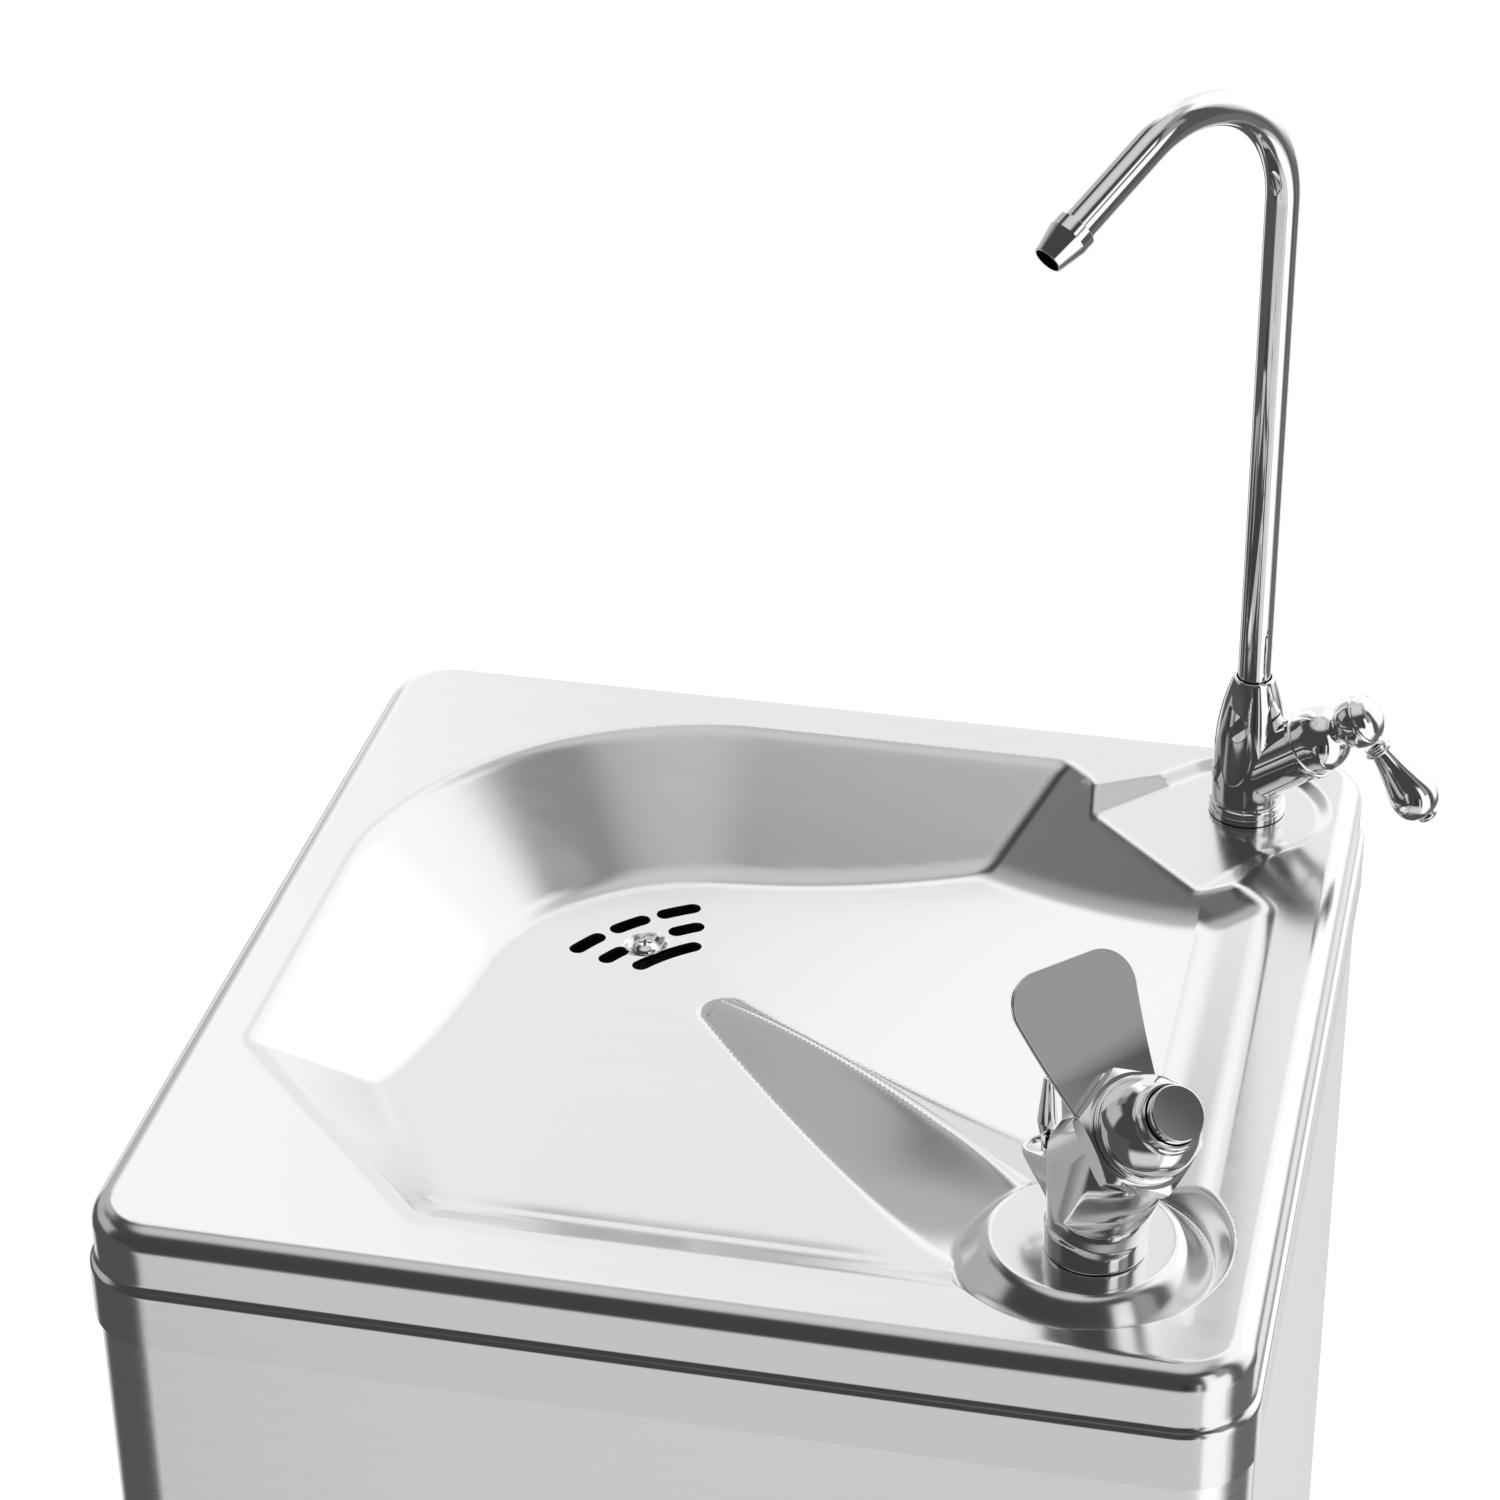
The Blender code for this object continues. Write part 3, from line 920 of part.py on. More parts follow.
def make_services():
    dryer_x = 110 * MM
    dryer = [(0, 120 * MM), (3.5 * MM, 120 * MM), (3.5 * MM, 108 * MM), (11 * MM, 98 * MM), (11 * MM, 22 * MM),
             (3.5 * MM, 12 * MM), (3.5 * MM, 0), (0, 0)]
    turned("filter_drier", dryer, COPPER, at(dryer_x, 20 * MM, 200 * MM), 16)

    block("thermostat", (46 * MM, 34 * MM, 30 * MM), (KNOB_X, HALF_Y - PANEL_SHEET - GAP - 18 * MM, KNOB_Z),
          WHITE_PLASTIC, None, fountain, 1.5 * MM)
    knob = [(0, 12 * MM), (8.5 * MM, 12 * MM), (9.5 * MM, 11 * MM), (10.5 * MM, 0.6 * MM), (3.4 * MM, 0.6 * MM),
            (3.4 * MM, -PANEL_SHEET), (0, -PANEL_SHEET)]
    dial = turned("thermostat_knob", knob, BLACK_PAINT, frame_on((KNOB_X, HALF_Y + GAP, KNOB_Z), (0, 1, 0)), 20)
    mark = block("knob_mark_cutter", (1.6 * MM, 3 * MM, 8 * MM), (KNOB_X, HALF_Y + 12.5 * MM, KNOB_Z + 6 * MM), None,
                 None, cutters)
    cut(dial, mark)

    inlet = [(0, 12 * MM), (7 * MM, 12 * MM), (7.6 * MM, 10 * MM), (7.6 * MM, 4 * MM), (12 * MM, 4 * MM),
             (12 * MM, GAP), (8.6 * MM, GAP), (8.6 * MM, -16 * MM), (0, -16 * MM)]
    inlet_place = frame_on((INLET_X, HALF_Y, INLET_Z), (0, 1, 0))
    fitting = turned("inlet_fitting", inlet, BRASS, inlet_place, 18)
    cut(fitting, rod("inlet_bore_cutter", 4.5 * MM, -8 * MM, 40 * MM, None, inlet_place, 14, cutters))

    stand, floor, reach = 11.4 * MM, 1.6 * MM, 20 * MM
    socket = block("power_inlet", (40 * MM, stand, 24 * MM), (POWER_X, HALF_Y + GAP + stand / 2, POWER_Z), BLACK_PAINT)
    throat = block("power_inlet_cutter", (22 * MM, reach, 14 * MM),
                   (POWER_X, HALF_Y + GAP + floor + reach / 2, POWER_Z), None, None, cutters)
    cut(socket, throat)

    make_tubes()


def make_tubes():
    supply = 3 * MM
    inlet_start = (INLET_X, HALF_Y - 16 * MM - GAP, INLET_Z)
    inlet_run = rounded_route([inlet_start, (INLET_X, HALF_Y - 42 * MM, INLET_Z), (118 * MM, 80 * MM, 140 * MM),
                               (118 * MM, 62 * MM, 480 * MM)], 14 * MM)
    tube("inlet_tube", inlet_run, supply, WHITE_PLASTIC, 1)

    tank_x, tank_y = TANK
    foot = DECK_Z - 34 * MM - GAP
    filler_run = rounded_route([(FILLER[0], FILLER[1], DECK_Z - 36 * MM - GAP), (FILLER[0], FILLER[1], 860 * MM),
                                (tank_x + 24 * MM, tank_y + 20 * MM, 830 * MM),
                                (tank_x + 24 * MM, tank_y + 20 * MM, TANK_HIGH)], 14 * MM)
    tube("supply_tube_filler", filler_run, supply, WHITE_PLASTIC, 1)
    bubbler_run = rounded_route([(BUBBLER[0], BUBBLER[1], foot), (BUBBLER[0], BUBBLER[1], 870 * MM),
                                 (tank_x + 20 * MM, tank_y - 24 * MM, 840 * MM),
                                 (tank_x + 20 * MM, tank_y - 24 * MM, TANK_HIGH)], 14 * MM)
    tube("supply_tube_bubbler", bubbler_run, supply, WHITE_PLASTIC, 1)


make_basin_top()
make_drain()
make_bubbler()
make_filler()
make_panels()
make_base()
make_cooling()
make_compressor()
make_condenser()
make_services()
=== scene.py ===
"""The looks of the drinking fountain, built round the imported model.

Metres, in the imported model's own frame: +Z up, the floor at z = 0, the front faces -Y. The pressed top, the polished
fittings and the cabinet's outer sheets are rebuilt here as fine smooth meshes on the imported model's own axes.
"""

import json
import math

import bmesh
import bpy
import numpy as np
from mathutils import Matrix, Vector


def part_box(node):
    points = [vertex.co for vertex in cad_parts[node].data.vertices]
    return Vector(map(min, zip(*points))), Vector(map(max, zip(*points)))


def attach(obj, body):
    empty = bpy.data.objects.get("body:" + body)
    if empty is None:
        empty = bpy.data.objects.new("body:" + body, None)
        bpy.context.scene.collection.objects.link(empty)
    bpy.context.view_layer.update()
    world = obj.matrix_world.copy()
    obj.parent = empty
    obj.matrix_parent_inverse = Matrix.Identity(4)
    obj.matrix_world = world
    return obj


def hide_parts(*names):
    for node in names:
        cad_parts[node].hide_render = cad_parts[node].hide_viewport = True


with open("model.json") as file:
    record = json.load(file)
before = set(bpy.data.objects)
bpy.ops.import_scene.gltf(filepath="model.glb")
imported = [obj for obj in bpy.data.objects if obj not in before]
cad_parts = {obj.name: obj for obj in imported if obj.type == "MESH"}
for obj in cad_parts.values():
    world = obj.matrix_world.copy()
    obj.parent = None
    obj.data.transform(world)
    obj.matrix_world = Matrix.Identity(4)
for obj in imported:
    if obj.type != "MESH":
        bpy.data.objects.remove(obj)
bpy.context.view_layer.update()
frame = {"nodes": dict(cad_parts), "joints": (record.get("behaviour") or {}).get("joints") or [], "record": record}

MM = 0.001
NODES = frame["nodes"]
JOINTS = {joint["name"]: joint for joint in frame["joints"]}
CABINET, BUTTON, SPOUT, LEVER = "cabinet", "button", "spout", "lever"

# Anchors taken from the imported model.
TOP_LOW, TOP_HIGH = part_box("basin_top")
MIDDLE = Vector(((TOP_LOW.x + TOP_HIGH.x) / 2, (TOP_LOW.y + TOP_HIGH.y) / 2, 0))
DECK_Z = TOP_HIGH.z
SWIVEL = Vector(JOINTS["spout_swivel"]["pos_m"])
FILLER = SWIVEL - MIDDLE
VALVE_POINT = Vector(JOINTS["lever_turn"]["pos_m"])
VALVE_AXIS = Vector(JOINTS["lever_turn"]["axis"]).normalized()
PRESS = -Vector(JOINTS["button_press"]["axis"]).normalized()

# The pressed top: sizes in plan are measured from the middle of the deck, depths from its surface.
TOP_WIDTH = TOP_HIGH.x - TOP_LOW.x
TOP_DEPTH = TOP_HIGH.y - TOP_LOW.y
SHEET = 1.2 * MM
EDGE_ROLL = 7 * MM
SKIRT_STEP = 1.8 * MM
UPPER_SKIRT_FOOT = -16.3 * MM
STEP_FOOT = -21.9 * MM
STEP_TILT = 54
SKIRT_FOOT = TOP_LOW.z - DECK_Z
BAND_CORNER = 22 * MM
LIP_LEFT, LIP_RIGHT = -143 * MM, 141 * MM
LIP_FRONT, LIP_BACK = -138 * MM, 140 * MM
LIP_FRONT_LEFT_SUM = -208.5 * MM
LIP_BACK_RIGHT_SUM = 207 * MM
LIP_ARC_CENTRE = (-32 * MM, 28 * MM)
LIP_ARC_RADIUS = 112 * MM
# How far each wall runs inwards for every unit it falls, and how softly walls meet.
SIDE_LEAN, RIGHT_LEAN, FRONT_LEAN, CORNER_LEAN, MOAT_LEAN = 1.2, 1.75, 1.9, 1.4, 0.4
CRISP_FOLD, SOFT_FOLD = 1 * MM, 2 * MM
FLOOR_DEEPEST = 34.6 * MM
FLOOR_RISE = 24.6 * MM
FLOOR_RUN = 174 * MM
LIP_FILLET, CHANNEL_FILLET = 2.4 * MM, 0.7 * MM
FOOT_FILLET = 3.6 * MM
PLATEAU = (111 * MM, -108 * MM)
PLATEAU_RADIUS = 27 * MM
MOAT_RADIUS = 40.5 * MM
SPINE_LENGTH = 186 * MM
CREST_ROUND = 1.8 * MM
PAD_DEPTH = 2.4 * MM
PAD_RADIUS = 24 * MM
DRAIN = (-54.5 * MM, 57.4 * MM)
DIMPLE_RADIUS, DIMPLE_DEPTH = 6.6 * MM, 1.9 * MM
SLOT_CENTRE = (-10 * MM, 15 * MM)
SLOT_HALF = 2.8 * MM
GRID, FINE_GRID = 1.7 * MM, 0.8 * MM

# The bubbler: its foot, its barrel that leans towards the front right corner, and how far bores are cut past it.
BUBBLER = (114.7 * MM, -111.7 * MM)
BARREL_START_Z = 31.1 * MM
BARREL_END = 18.4 * MM
GUARD_BACK, GUARD_FRONT = 18.7 * MM, 20.1 * MM
NUT_BACK, NUT_FRONT = 20.4 * MM, 26.4 * MM
DOME_CENTRE, DOME_RADIUS = 29.1 * MM, 14.2 * MM
BUTTON_FACE = 46.4 * MM
CUP = -23.4 * MM
CUP_RADIUS, CUP_FLOOR = 6.8 * MM, 13.2 * MM
FOOT_RADIUS, BARREL_RADIUS = 14.35 * MM, 13.6 * MM
STEM_HOLE = 9.1 * MM
CLEAR = 60 * MM

# The filler.
SPOUT_YAW = math.radians(-127)
SPOUT_RADIUS = 5.15 * MM
SPOUT_CLEARANCE = 0.45 * MM
SPOUT_BORE = 4.2 * MM
SPOUT_BEND_RADIUS = 38 * MM
SPOUT_BEND_Z = 208 * MM
SPOUT_BEND = math.radians(121)
SPOUT_RUN = 34 * MM
COLLAR_Z = SWIVEL.z - DECK_Z
HUB_DISTANCE = 45.1 * MM
HUB_RADIUS = 8.3 * MM
LEVER_AXIS = Vector((0.627, -0.061, -0.776))


# ---------------------------------------------------------------- placing and naming pieces


def frame_on(point, direction):
    """A matrix at point whose local +Z runs along direction."""
    turn = Vector(direction).to_track_quat("Z", "Y").to_matrix().to_4x4()
    return Matrix.Translation(Vector(point)) @ turn


def at(x, y, z):
    return Matrix.Translation(Vector((x, y, z)))


BUBBLER_FRAME = at(MIDDLE.x + BUBBLER[0], MIDDLE.y + BUBBLER[1], DECK_Z) @ Matrix.Rotation(
    math.atan2(PRESS.y, PRESS.x), 4, "Z")
BARREL_LEAN = math.asin(PRESS.z)
BARREL_FRAME = BUBBLER_FRAME @ frame_on((0, 0, BARREL_START_Z), (math.cos(BARREL_LEAN), 0, math.sin(BARREL_LEAN)))
FILLER_FRAME = at(SWIVEL.x, SWIVEL.y, DECK_Z)
VALVE_FRAME = frame_on(VALVE_POINT, VALVE_AXIS)
DRAIN_FRAME = at(MIDDLE.x + DRAIN[0], MIDDLE.y + DRAIN[1], DECK_Z - FLOOR_DEEPEST)


def new_object(name, mesh, matrix):
    obj = bpy.data.objects.new(name, mesh)
    bpy.context.scene.collection.objects.link(obj)
    obj.matrix_world = matrix
    return obj


def shade(obj, degrees=35):
    """Smooth shading that leaves flat faces flat and breaks at edges sharper than degrees."""
    obj.data.shade_smooth()
    obj.data.set_sharp_from_angle(angle=math.radians(degrees))
    weigh = obj.modifiers.new("weigh", "WEIGHTED_NORMAL")
    weigh.weight = 100
    weigh.keep_sharp = True
    apply_modifiers(obj)


def finish_piece(obj, material, body, slot, *nodes, degrees=35):
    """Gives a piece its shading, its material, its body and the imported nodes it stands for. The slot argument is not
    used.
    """
    if degrees:
        shade(obj, degrees)
    obj.data.materials.clear()
    obj.data.materials.append(material)
    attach(obj, body)
    if nodes:
        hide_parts(*nodes)
    return obj


# ---------------------------------------------------------------- mesh tools


def rounded(corners, segments=8):
    """An outline of (radius, height) points. A corner given with a third number is rounded to that radius."""
    points = []
    for index, corner in enumerate(corners):
        here = Vector(corner[:2])
        if len(corner) == 2 or not 0 < index < len(corners) - 1:
            points.append((here.x, here.y))
            continue
        before, after = Vector(corners[index - 1][:2]), Vector(corners[index + 1][:2])
        back, ahead = (before - here).normalized(), (after - here).normalized()
        half = back.angle(ahead) / 2
        reach = corner[2] / math.tan(half)
        middle = here + (back + ahead).normalized() * (corner[2] / math.sin(half))
        first, last = here + back * reach - middle, here + ahead * reach - middle
        turn = first.angle(last)
        for i in range(segments + 1):
            angle = turn * i / segments
            spot = middle + (first * math.sin(turn - angle) + last * math.sin(angle)) / math.sin(turn)
            points.append((spot.x, spot.y))
    return points


def flowing(points, steps=8):
    """A smooth run through points, by Catmull-Rom."""
    points = [Vector(p) for p in points]
    padded = [2 * points[0] - points[1]] + points + [2 * points[-1] - points[-2]]
    run = []
    for a, b, c, d in zip(padded, padded[1:], padded[2:], padded[3:]):
        for i in range(steps):
            t = i / steps
            run.append(0.5 * ((2 * b) + (c - a) * t + (2 * a - 5 * b + 4 * c - d) * t * t
                              + (3 * b - a - 3 * c + d) * t ** 3))
    run.append(points[-1])
    return [tuple(p) for p in run]


def ball_outline(centre, radius, start, end, count):
    """(radius, height) points on a ball, angles in degrees up from its equator."""
    angles = np.radians(np.linspace(start, end, count))
    return [(radius * math.cos(a), centre + radius * math.sin(a)) for a in angles]


def lathe(name, profile, matrix, steps=96):
    """A solid turned about local Z. The profile runs from top to bottom, and closes on itself if it misses the axis."""
    verts, rings, faces = [], [], []
    for radius, height in profile:
        if radius < 1e-7:
            rings.append([len(verts)] * steps)
            verts.append((0, 0, height))
        else:
            rings.append(list(range(len(verts), len(verts) + steps)))
            verts += [(radius * math.cos(math.tau * i / steps), radius * math.sin(math.tau * i / steps), height)
                      for i in range(steps)]
    if profile[0][0] > 1e-7:
        rings.append(rings[0])
    for upper, lower in zip(rings, rings[1:]):
        for i in range(steps):
            j = (i + 1) % steps
            corners = [upper[i], lower[i], lower[j], upper[j]]
            faces.append([c for k, c in enumerate(corners) if c not in corners[:k]])
    mesh = bpy.data.meshes.new(name)
    mesh.from_pydata(verts, [], [face for face in faces if len(face) > 2])
    return new_object(name, mesh, matrix)


def plug(name, radius, low, high, matrix, steps=72):
    """A plain round bar, for cutting a bore."""
    return lathe(name, [(0, high), (radius, high), (radius, low), (0, low)], matrix, steps)


def sweep(name, route, radius, matrix, sides=48):
    """A round bar along a route, with flat ends."""
    route = [Vector(p) for p in route]
    verts, faces = [], []
    side = None
    for index, point in enumerate(route):
        ahead = (route[min(index + 1, len(route) - 1)] - route[max(index - 1, 0)]).normalized()
        if side is None:
            side = ahead.orthogonal().normalized()
        side = (side - ahead * side.dot(ahead)).normalized()
        other = ahead.cross(side)
        verts += [point + radius * (side * math.cos(math.tau * i / sides) + other * math.sin(math.tau * i / sides))
                  for i in range(sides)]
    for ring in range(len(route) - 1):
        low, high = ring * sides, (ring + 1) * sides
        faces += [(low + i, low + (i + 1) % sides, high + (i + 1) % sides, high + i) for i in range(sides)]
    faces.append(list(range(sides))[::-1])
    faces.append([(len(route) - 1) * sides + i for i in range(sides)])
    mesh = bpy.data.meshes.new(name)
    mesh.from_pydata([tuple(v) for v in verts], [], faces)
    return new_object(name, mesh, matrix)


def corner_arc(centre_x, centre_y, radius, start, end, steps=12):
    angles = np.radians(np.linspace(start, end, steps + 1))
    return [(centre_x + radius * math.cos(a), centre_y + radius * math.sin(a)) for a in angles]


def add_prism(bm, outline, low, high):
    face = bm.faces.new([bm.verts.new((x, y, low)) for x, y in outline])
    lifted = bmesh.ops.extrude_face_region(bm, geom=[face])
    top = [item for item in lifted["geom"] if isinstance(item, bmesh.types.BMVert)]
    bmesh.ops.translate(bm, vec=(0, 0, high - low), verts=top)
    bmesh.ops.recalc_face_normals(bm, faces=bm.faces)


def prism(name, outline, low, high, matrix):
    mesh = bpy.data.meshes.new(name)
    bm = bmesh.new()
    add_prism(bm, outline, low, high)
    bm.to_mesh(mesh)
    bm.free()
    return new_object(name, mesh, matrix)


def combine(obj, operation, *others, solver="EXACT"):
    """Applies Booleans with the other objects, which are then removed."""
    for other in others:
        step = obj.modifiers.new(operation, "BOOLEAN")
        step.operation = operation
        step.object = other
        step.solver = solver
        apply_modifiers(obj)
        bpy.data.objects.remove(other, do_unlink=True)
    return obj


def apply_modifiers(obj):
    bpy.context.view_layer.update()
    mesh = bpy.data.meshes.new_from_object(obj.evaluated_get(bpy.context.evaluated_depsgraph_get()))
    obj.modifiers.clear()
    obj.data = mesh
    return obj


def soften_edges(obj, width, segments=3, degrees=40):
    """Rounds the sharp edges of a piece."""
    bm = bmesh.new()
    bm.from_mesh(obj.data)
    bmesh.ops.remove_doubles(bm, verts=bm.verts, dist=1e-6)
    limit = math.radians(degrees)
    sharp = [edge for edge in bm.edges if len(edge.link_faces) == 2 and edge.calc_face_angle() > limit]
    bmesh.ops.bevel(bm, geom=sharp, offset=width, segments=segments, profile=0.5, affect="EDGES",
                    clamp_overlap=True)
    bm.to_mesh(obj.data)
    bm.free()
    return obj


# ---------------------------------------------------------------- the pressed top


def smooth_min(a, b, width):
    overlap = np.maximum(width - np.abs(a - b), 0) / width
    return np.minimum(a, b) - overlap * overlap * width / 4


def smooth_max(a, b, width):
    return -smooth_min(-a, -b, width)


def basin_depth(x, y):
    """How far the pressing lies below the deck at a plan point."""
    # The walls fall from the lip.
    arc_x, arc_y = LIP_ARC_CENTRE
    in_arc = LIP_ARC_RADIUS - np.hypot(np.maximum(arc_x - x, 0), np.maximum(y - arc_y, 0))
    walls = smooth_min(in_arc / SIDE_LEAN, (LIP_RIGHT - x) / RIGHT_LEAN, SOFT_FOLD)
    walls = smooth_min(walls, (x - LIP_LEFT) / SIDE_LEAN, CRISP_FOLD)
    walls = smooth_min(walls, (LIP_BACK - y) / SIDE_LEAN, CRISP_FOLD)
    walls = smooth_min(walls, (y - LIP_FRONT) / FRONT_LEAN, SOFT_FOLD)
    walls = smooth_min(walls, (x + y - LIP_FRONT_LEFT_SUM) / math.sqrt(2) / CORNER_LEAN, SOFT_FOLD)
    walls = smooth_min(walls, (LIP_BACK_RIGHT_SUM - x - y) / math.sqrt(2) / CORNER_LEAN, SOFT_FOLD)

    # The moat round the bubbler's plateau opens into the basin.
    from_plateau = np.hypot(x - PLATEAU[0], y - PLATEAU[1])
    walls = smooth_max(walls, (MOAT_RADIUS - from_plateau) / MOAT_LEAN, SOFT_FOLD)

    # The floor falls away from the front and the right.
    run = smooth_min(y + 117 * MM, 120 * MM - x, 20 * MM)
    run = np.clip(run, 0, FLOOR_RUN)
    floor = FLOOR_DEEPEST - FLOOR_RISE * (1 - run / FLOOR_RUN) ** 2
    depth = smooth_min(walls, floor, FOOT_FILLET)

    # The spine runs from the plateau down towards the far corner.
    along = ((PLATEAU[0] - x) + (y - PLATEAU[1])) / math.sqrt(2)
    across = ((x - PLATEAU[0]) + (y - PLATEAU[1])) / math.sqrt(2)
    ridge = 0.83 * np.clip(along, 0, SPINE_LENGTH) ** 2
    half_width = 34.5 * MM - 0.155 * np.clip(along, 0, SPINE_LENGTH)
    past_end = np.maximum(along - SPINE_LENGTH, 0) + np.maximum(-along, 0)
    from_crest = np.sqrt(across ** 2 + past_end ** 2 + CREST_ROUND ** 2) - CREST_ROUND
    spine = ridge + np.maximum(floor - ridge, 4 * MM) * from_crest / half_width
    depth = smooth_min(depth, spine, 1.2 * MM)

    depth = smooth_min(depth, (from_plateau - PLATEAU_RADIUS) / 0.85, 1.5 * MM)

    # The filler stands on a sunk pad that spills into the basin.
    spill = ((FILLER.x - x) + (FILLER.y - y)) / math.sqrt(2)
    beside = ((x - FILLER.x) - (y - FILLER.y)) / math.sqrt(2)
    lip_run = np.clip(spill - 13 * MM, 0, 30 * MM) / (18.5 * MM)
    past_spill = 1.15 * np.minimum(spill, 0) + np.maximum(spill - 60 * MM, 0)
    outside = np.hypot(beside, past_spill) - (PAD_RADIUS + 2 * MM * lip_run)
    channel_floor = PAD_DEPTH + 2 * MM * lip_run
    channel = smooth_min(channel_floor, channel_floor - outside / 2.2, 0.8 * MM)
    depth = smooth_max(depth, channel, 1.2 * MM)
    from_channel = np.clip((outside - 7 * MM) / (8 * MM), 0, 1)
    depth = smooth_max(depth, 0 * depth, CHANNEL_FILLET + (LIP_FILLET - CHANNEL_FILLET) * from_channel)

    # The drain screw sits in a dimple.
    from_drain = np.hypot(x - DRAIN[0], y - DRAIN[1])
    dimple = np.clip((DIMPLE_RADIUS - from_drain) / (2.2 * MM), 0, 1)
    return depth + DIMPLE_DEPTH * dimple * dimple * (3 - 2 * dimple)


def grid_run(start, end, step):
    """Evenly spaced lines past start and up to end, an even number of them."""
    count = 2 * math.ceil(abs(end - start) / step / 2)
    return np.linspace(start, end, count + 1)[1:]


def deck_lines(half, corner, *stops):
    """Grid lines across the deck. Each stop is where a stretch ends and the step used in it."""
    inner = half - corner
    lines = [np.array([-half]), grid_run(-half, -inner, stops[0][1])]
    start = -inner
    for end, step in stops:
        end = min(end, inner)
        lines.append(grid_run(start, end, step))
        start = end
    lines.append(grid_run(inner, half, stops[-1][1]))
    return np.concatenate(lines)


def edge_profile():
    """(outwards, height) of the rolled edge and the stepped skirt, from the deck down."""
    profile = [(EDGE_ROLL * math.sin(a), EDGE_ROLL * (math.cos(a) - 1)) for a in np.radians(np.linspace(6, 90, 15))]
    profile += [(EDGE_ROLL, (profile[-1][1] + UPPER_SKIRT_FOOT) / 2), (EDGE_ROLL, UPPER_SKIRT_FOOT)]
    steps = 20
    tilts = np.radians(STEP_TILT) * np.sin(np.pi * (np.arange(steps) + 0.5) / steps) ** 4
    out = np.cumsum(np.sin(tilts)) / np.sum(np.sin(tilts)) * SKIRT_STEP
    down = np.cumsum(np.cos(tilts)) / np.sum(np.cos(tilts)) * (STEP_FOOT - UPPER_SKIRT_FOOT)
    profile += [(EDGE_ROLL + o, UPPER_SKIRT_FOOT + d) for o, d in zip(out, down)]
    edge = EDGE_ROLL + SKIRT_STEP
    profile += [(edge, (STEP_FOOT + SKIRT_FOOT) / 2), (edge, SKIRT_FOOT)]
    return profile


def basin_normals(x, y):
    """The pressing's normals at plan points, from the slope of its depth."""
    reach = 0.15 * MM
    slope_x = (basin_depth(x + reach, y) - basin_depth(x - reach, y)) / (2 * reach)
    slope_y = (basin_depth(x, y + reach) - basin_depth(x, y - reach)) / (2 * reach)
    normals = np.stack([slope_x, slope_y, np.ones_like(x)], axis=-1)
    return normals / np.linalg.norm(normals, axis=-1, keepdims=True)


def make_basin_top():
    deck_x = TOP_WIDTH / 2 - SKIRT_STEP - EDGE_ROLL
    deck_y = TOP_DEPTH / 2 - SKIRT_STEP - EDGE_ROLL
    corner = BAND_CORNER - SKIRT_STEP - EDGE_ROLL
    lines_x = deck_lines(deck_x, corner, (66 * MM, GRID), (deck_x, FINE_GRID))
    lines_y = deck_lines(deck_y, corner, (-62 * MM, FINE_GRID), (deck_y, GRID))
    x, y = np.meshgrid(lines_x, lines_y, indexing="ij")
    over_x = np.maximum(np.abs(x) - (deck_x - corner), 0)
    over_y = np.maximum(np.abs(y) - (deck_y - corner), 0)
    reach = np.hypot(over_x, over_y)
    scale = np.where((over_x > 0) & (over_y > 0), np.maximum(over_x, over_y) / np.maximum(reach, 1e-9), 1)
    x = np.where(over_x > 0, np.sign(x) * (deck_x - corner + over_x * scale), x)
    y = np.where(over_y > 0, np.sign(y) * (deck_y - corner + over_y * scale), y)
    top_points, top_quads, top_rim = pressed_skin(x, y, deck_x - corner, deck_y - corner, 0)
    x, y = x[::2, ::2], y[::2, ::2]
    low_points, low_quads, low_rim = pressed_skin(x, y, deck_x - corner, deck_y - corner, SHEET)
    low_quads, low_rim = low_quads + len(top_points), low_rim + len(top_points)
    faces = top_quads.tolist() + low_quads[:, ::-1].tolist()
    for i, low in enumerate(low_rim):
        following = low_rim[(i + 1) % len(low_rim)]
        ahead = top_rim[(2 * i + 2) % len(top_rim)]
        faces.append([int(n) for n in (top_rim[2 * i], low, following, ahead, top_rim[2 * i + 1])])
    mesh = bpy.data.meshes.new("pressed_top")
    mesh.from_pydata(np.concatenate([top_points, low_points]).tolist(), [], faces)
    bm = bmesh.new()
    bm.from_mesh(mesh)
    bmesh.ops.recalc_face_normals(bm, faces=bm.faces)
    bm.to_mesh(mesh)
    bm.free()
    top = new_object("pressed_top", mesh, at(MIDDLE.x, MIDDLE.y, DECK_Z))
    combine(top, "DIFFERENCE", make_hole_cutter(), solver="MANIFOLD")
    set_top_normals(top, deck_x, deck_y)
    return finish_piece(top, SATIN, CABINET, "satin_steel", "basin_top", degrees=0)


